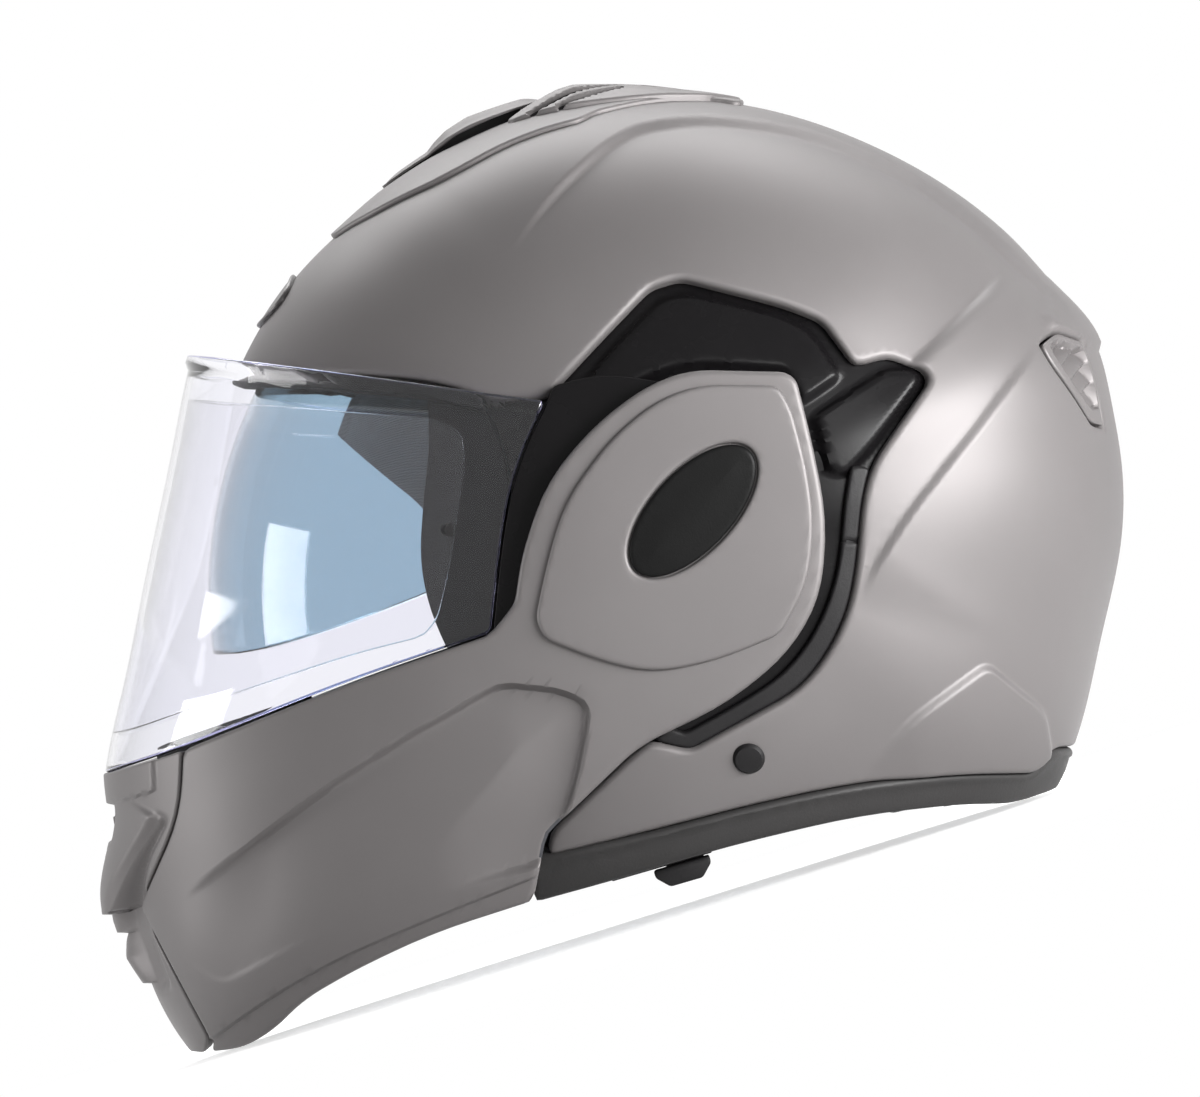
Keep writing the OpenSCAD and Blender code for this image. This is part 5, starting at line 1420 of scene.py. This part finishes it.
pad = pillow("cheek_pad_left" + MADE, pad_outline, PAD_SEAT, PAD_LAYERS, knit)
swelled(pad, 3.4, 4.0, 2.0)
pressed(pad, [round_pad, across_pad], 1.5, 2.6)
other = mirrored(pad, "cheek_pad_right" + MADE)
for piece, node_name in ((pad, "cheek_pad_left"), (other, "cheek_pad_right")):
    adopt(piece, "helmet", [node_name])

# %% [markdown]
# The neck roll and the pad behind the chin are the same kind of piece, bent along the shell's edge.

# %% Neck roll and chin pad
ROLL_PX = [
    (824, 794), (960, 780), (1030, 777), (1066, 762), (1066, 786), (1030, 799), (960, 799), (824, 817)]
roll_outline = [within(ROLL_PX, 8)]
[roll] = panel("neck_roll", dome(SHELL_RING, SHELL, 14.6, (-128, -18), 3.0, reach=(0.4, 1.0)),
               roll_outline, [knit], "helmet", lift=6.0, lip=3.0, thick=12.0, lip_in=3.0)
swelled(roll, 3.4, 4.0, 1.2)
CHIN_PAD_PX = [(96, 814), (182, 780), (298, 735), (298, 898), (230, 957), (160, 957)]
[chin_pad] = panel("chin_pad", dome(CHIN_RING, CHIN, 26.2, (150, 262), 3.0, reach=(0.35, 1.0)),
                   [within(CHIN_PAD_PX, 12), band_y(-1, 94)], [mesh_knit], "chin_section",
                   lift=3.0, lip=2.6, thick=6.0, lip_in=2.6)
swelled(chin_pad, 3.4, 4.0, 1.0)
pressed(chin_pad, [lambda p: np.abs(p[:, 1]) - 32.0], 1.2, 2.4)

# %% [markdown]
# The head lining is one large thin cap. It is not blown up by Cloth, because it is held flat by the
# foam behind it on its whole area. Its sewn channels and rounded edge are raised from the surface.
# The crown strip is an open air mesh and the sides are brushed knit.

# %% Head lining
HEAD_IN = 38.0
LINING_PX = [
    (230, 250), (262, 352), (296, 400), (372, 466), (430, 512), (452, 560), (520, 572), (640, 590),
    (815, 632), (960, 700), (1100, 690), (1150, 300), (900, 60), (600, 20), (330, 130)]
CHANNEL_Y = 27.0
SPOKES = (18.0, 52.0, 84.0, 116.0)


def head_radius(a):
    return SHELL_RING(a) - HEAD_IN


def channel(data, edge):
    """Sewn channels: two run along the head, the others across it from the crown."""
    turn = np.arctan2(data[:, 2], data[:, 0])
    away = np.hypot(data[:, 0], data[:, 2])
    gaps = [np.abs(aside(data) - CHANNEL_Y) + 40 * (away < 60)]
    for spoke in SPOKES:
        off = turn - math.radians(spoke)
        gaps.append(np.abs(np.sin(off)) * away + 60 * (np.cos(off) < 0))
    near = np.min(gaps, axis=0)
    return -2.6 * (1 - smooth(0, 9.0, near)) ** 2 - 0.8 * (1 - smooth(0, 1.2, near))


[lining] = panel("comfort_liner", dome(head_radius, HEAD, 0.2, FULL_TURN, 2.6, reach=(0.0, 1.0)),
                 [within(LINING_PX, 12)], [knit], "helmet",
                 lift=7.4, lip=3.6, thick=7.2, outward=False, reliefs=[channel])
lining.data.materials.append(mesh_knit)
places = np.empty(len(lining.data.polygons) * 3)
lining.data.polygons.foreach_get("center", places)
crown_strip = (np.abs(places[1::3]) < (CHANNEL_Y - 0.5) * MM).astype(int)
lining.data.polygons.foreach_set("material_index", crown_strip)

# %% [markdown]
# The chin curtain is one layer of fabric in the shape of a horseshoe. It runs along the lower edge
# of the chin section and closes the gap under the chin, and it sags a little between its edges.

# %% Chin curtain
CURTAIN_PX = [(150, 1046), (226, 1041), (262, 1018), (305, 986), (345, 962), (371, 948)]
CURTAIN_OFF = (7.5, 29.0)
CURTAIN_T, CURTAIN_SAG, CURTAIN_HALF = 0.9, 1.6, 108.0
curtain_line = traced(CURTAIN_PX, 14, False)[::-1]
run = np.append(0, np.cumsum(np.hypot(*np.diff(curtain_line, axis=0).T)))
fine_run = np.linspace(0, run[-1], 400)
fine_line = np.column_stack([np.interp(fine_run, run, curtain_line[:, i]) for i in (0, 1)])
sheet_rows = []
for share in np.linspace(0, 1, 10):
    wide = height(CHIN_RING, CHIN, CURTAIN_OFF[0] + share * (CURTAIN_OFF[1] - CURTAIN_OFF[0]))(fine_line)
    stop = int(np.argmax(np.append(wide, 0) <= 0)) + 1
    reach_y = np.linspace(-1, 1, 121)
    far_y = np.abs(np.sin(reach_y * math.pi / 2)) * min(wide[0], CURTAIN_HALF)
    passed = np.interp(-far_y, -wide[:stop], fine_run[:stop])
    flat = np.column_stack([np.interp(passed, fine_run, fine_line[:, i]) for i in (0, 1)])
    sheet_rows.append(np.column_stack([flat[:, 0], np.sign(reach_y) * far_y,
                                       flat[:, 1] - CURTAIN_SAG * math.sin(math.pi * share)]))
sheet_grid = np.array(sheet_rows)
count = sheet_grid.shape[1]
flat_points = sheet_grid.reshape(-1, 3)
sheet_faces = [[r * count + c, r * count + c + 1, (r + 1) * count + c + 1, (r + 1) * count + c]
               for r in range(len(sheet_rows) - 1) for c in range(count - 1)]
curtain = to_object("chin_curtain" + MADE, placed(flat_points), sheet_faces, [webbing], None, 180)
thicken = curtain.modifiers.new("cloth", "SOLIDIFY")
thicken.thickness = CURTAIN_T * MM
thicken.offset = 0
applied(curtain)
adopt(curtain, "chin_section", ["chin_curtain"])

# %% [markdown]
# The straps are flat polyester webbing, so they are swept along their path with the width held
# level. Webbing has a soft rounded edge and a thicker, sewn end; the swept section has the rounded
# edge and keeps one thickness to its end.

# %% Chin straps
STRAP_X = 34.42
STRAP_W, STRAP_T = 24.0, 2.2
STRAP_PATH = [
    (93.9, 38.3), (93.4, 36.6), (91.5, 32.5), (88.5, 29.0), (82.0, 25.5), (72.0, 23.4), (60.0, 22.3),
    (36.0, 22.0)]
ENDS = {"chin_strap_right": [(20.0, 22.0), (11.2, 22.0)], "chin_strap_left": [(52.4, 22.0)]}


def ribbon(name, path, mirror):
    """Sweep the rounded section of the webbing along its path on one side of the helmet."""
    path = np.array(path)
    steps = np.append(0, np.cumsum(np.hypot(*np.diff(path, axis=0).T)))
    for _ in range(2):
        new = [path[0]]
        for a, b in zip(path[:-1], path[1:]):
            new += [a * 0.75 + b * 0.25, a * 0.25 + b * 0.75]
        path = np.array(new + [path[-1]])
    way = np.gradient(path, axis=0)
    way /= np.linalg.norm(way, axis=1, keepdims=True)
    out = np.column_stack([-way[:, 1], way[:, 0]])
    turn = np.linspace(0, 2 * math.pi, 28, endpoint=False)
    wide = np.sign(np.cos(turn)) * np.abs(np.cos(turn)) ** 0.22 * STRAP_W / 2
    thick = np.sign(np.sin(turn)) * np.abs(np.sin(turn)) ** 0.6 * STRAP_T / 2
    points = np.array([[(STRAP_X + w, mirror * (p[0] + o[0] * t), p[1] + o[1] * t)
                        for w, t in zip(wide, thick)] for p, o in zip(path, out)])
    n = len(turn)
    faces = [[r * n + c, r * n + (c + 1) % n, (r + 1) * n + (c + 1) % n, (r + 1) * n + c]
             for r in range(len(path) - 1) for c in range(n)]
    faces += [list(range(n))[::-1], [(len(path) - 1) * n + i for i in range(n)]]
    if mirror > 0:
        faces = [f[::-1] for f in faces]
    obj = to_object(name + MADE, points.reshape(-1, 3) * MM, faces, [webbing], None, 60)
    adopt(obj, "helmet", [name])
    print(name, "runs", round(steps[-1], 0), "mm")


ribbon("chin_strap_right", STRAP_PATH + ENDS["chin_strap_right"], 1)
ribbon("chin_strap_left", STRAP_PATH[:7] + ENDS["chin_strap_left"], -1)
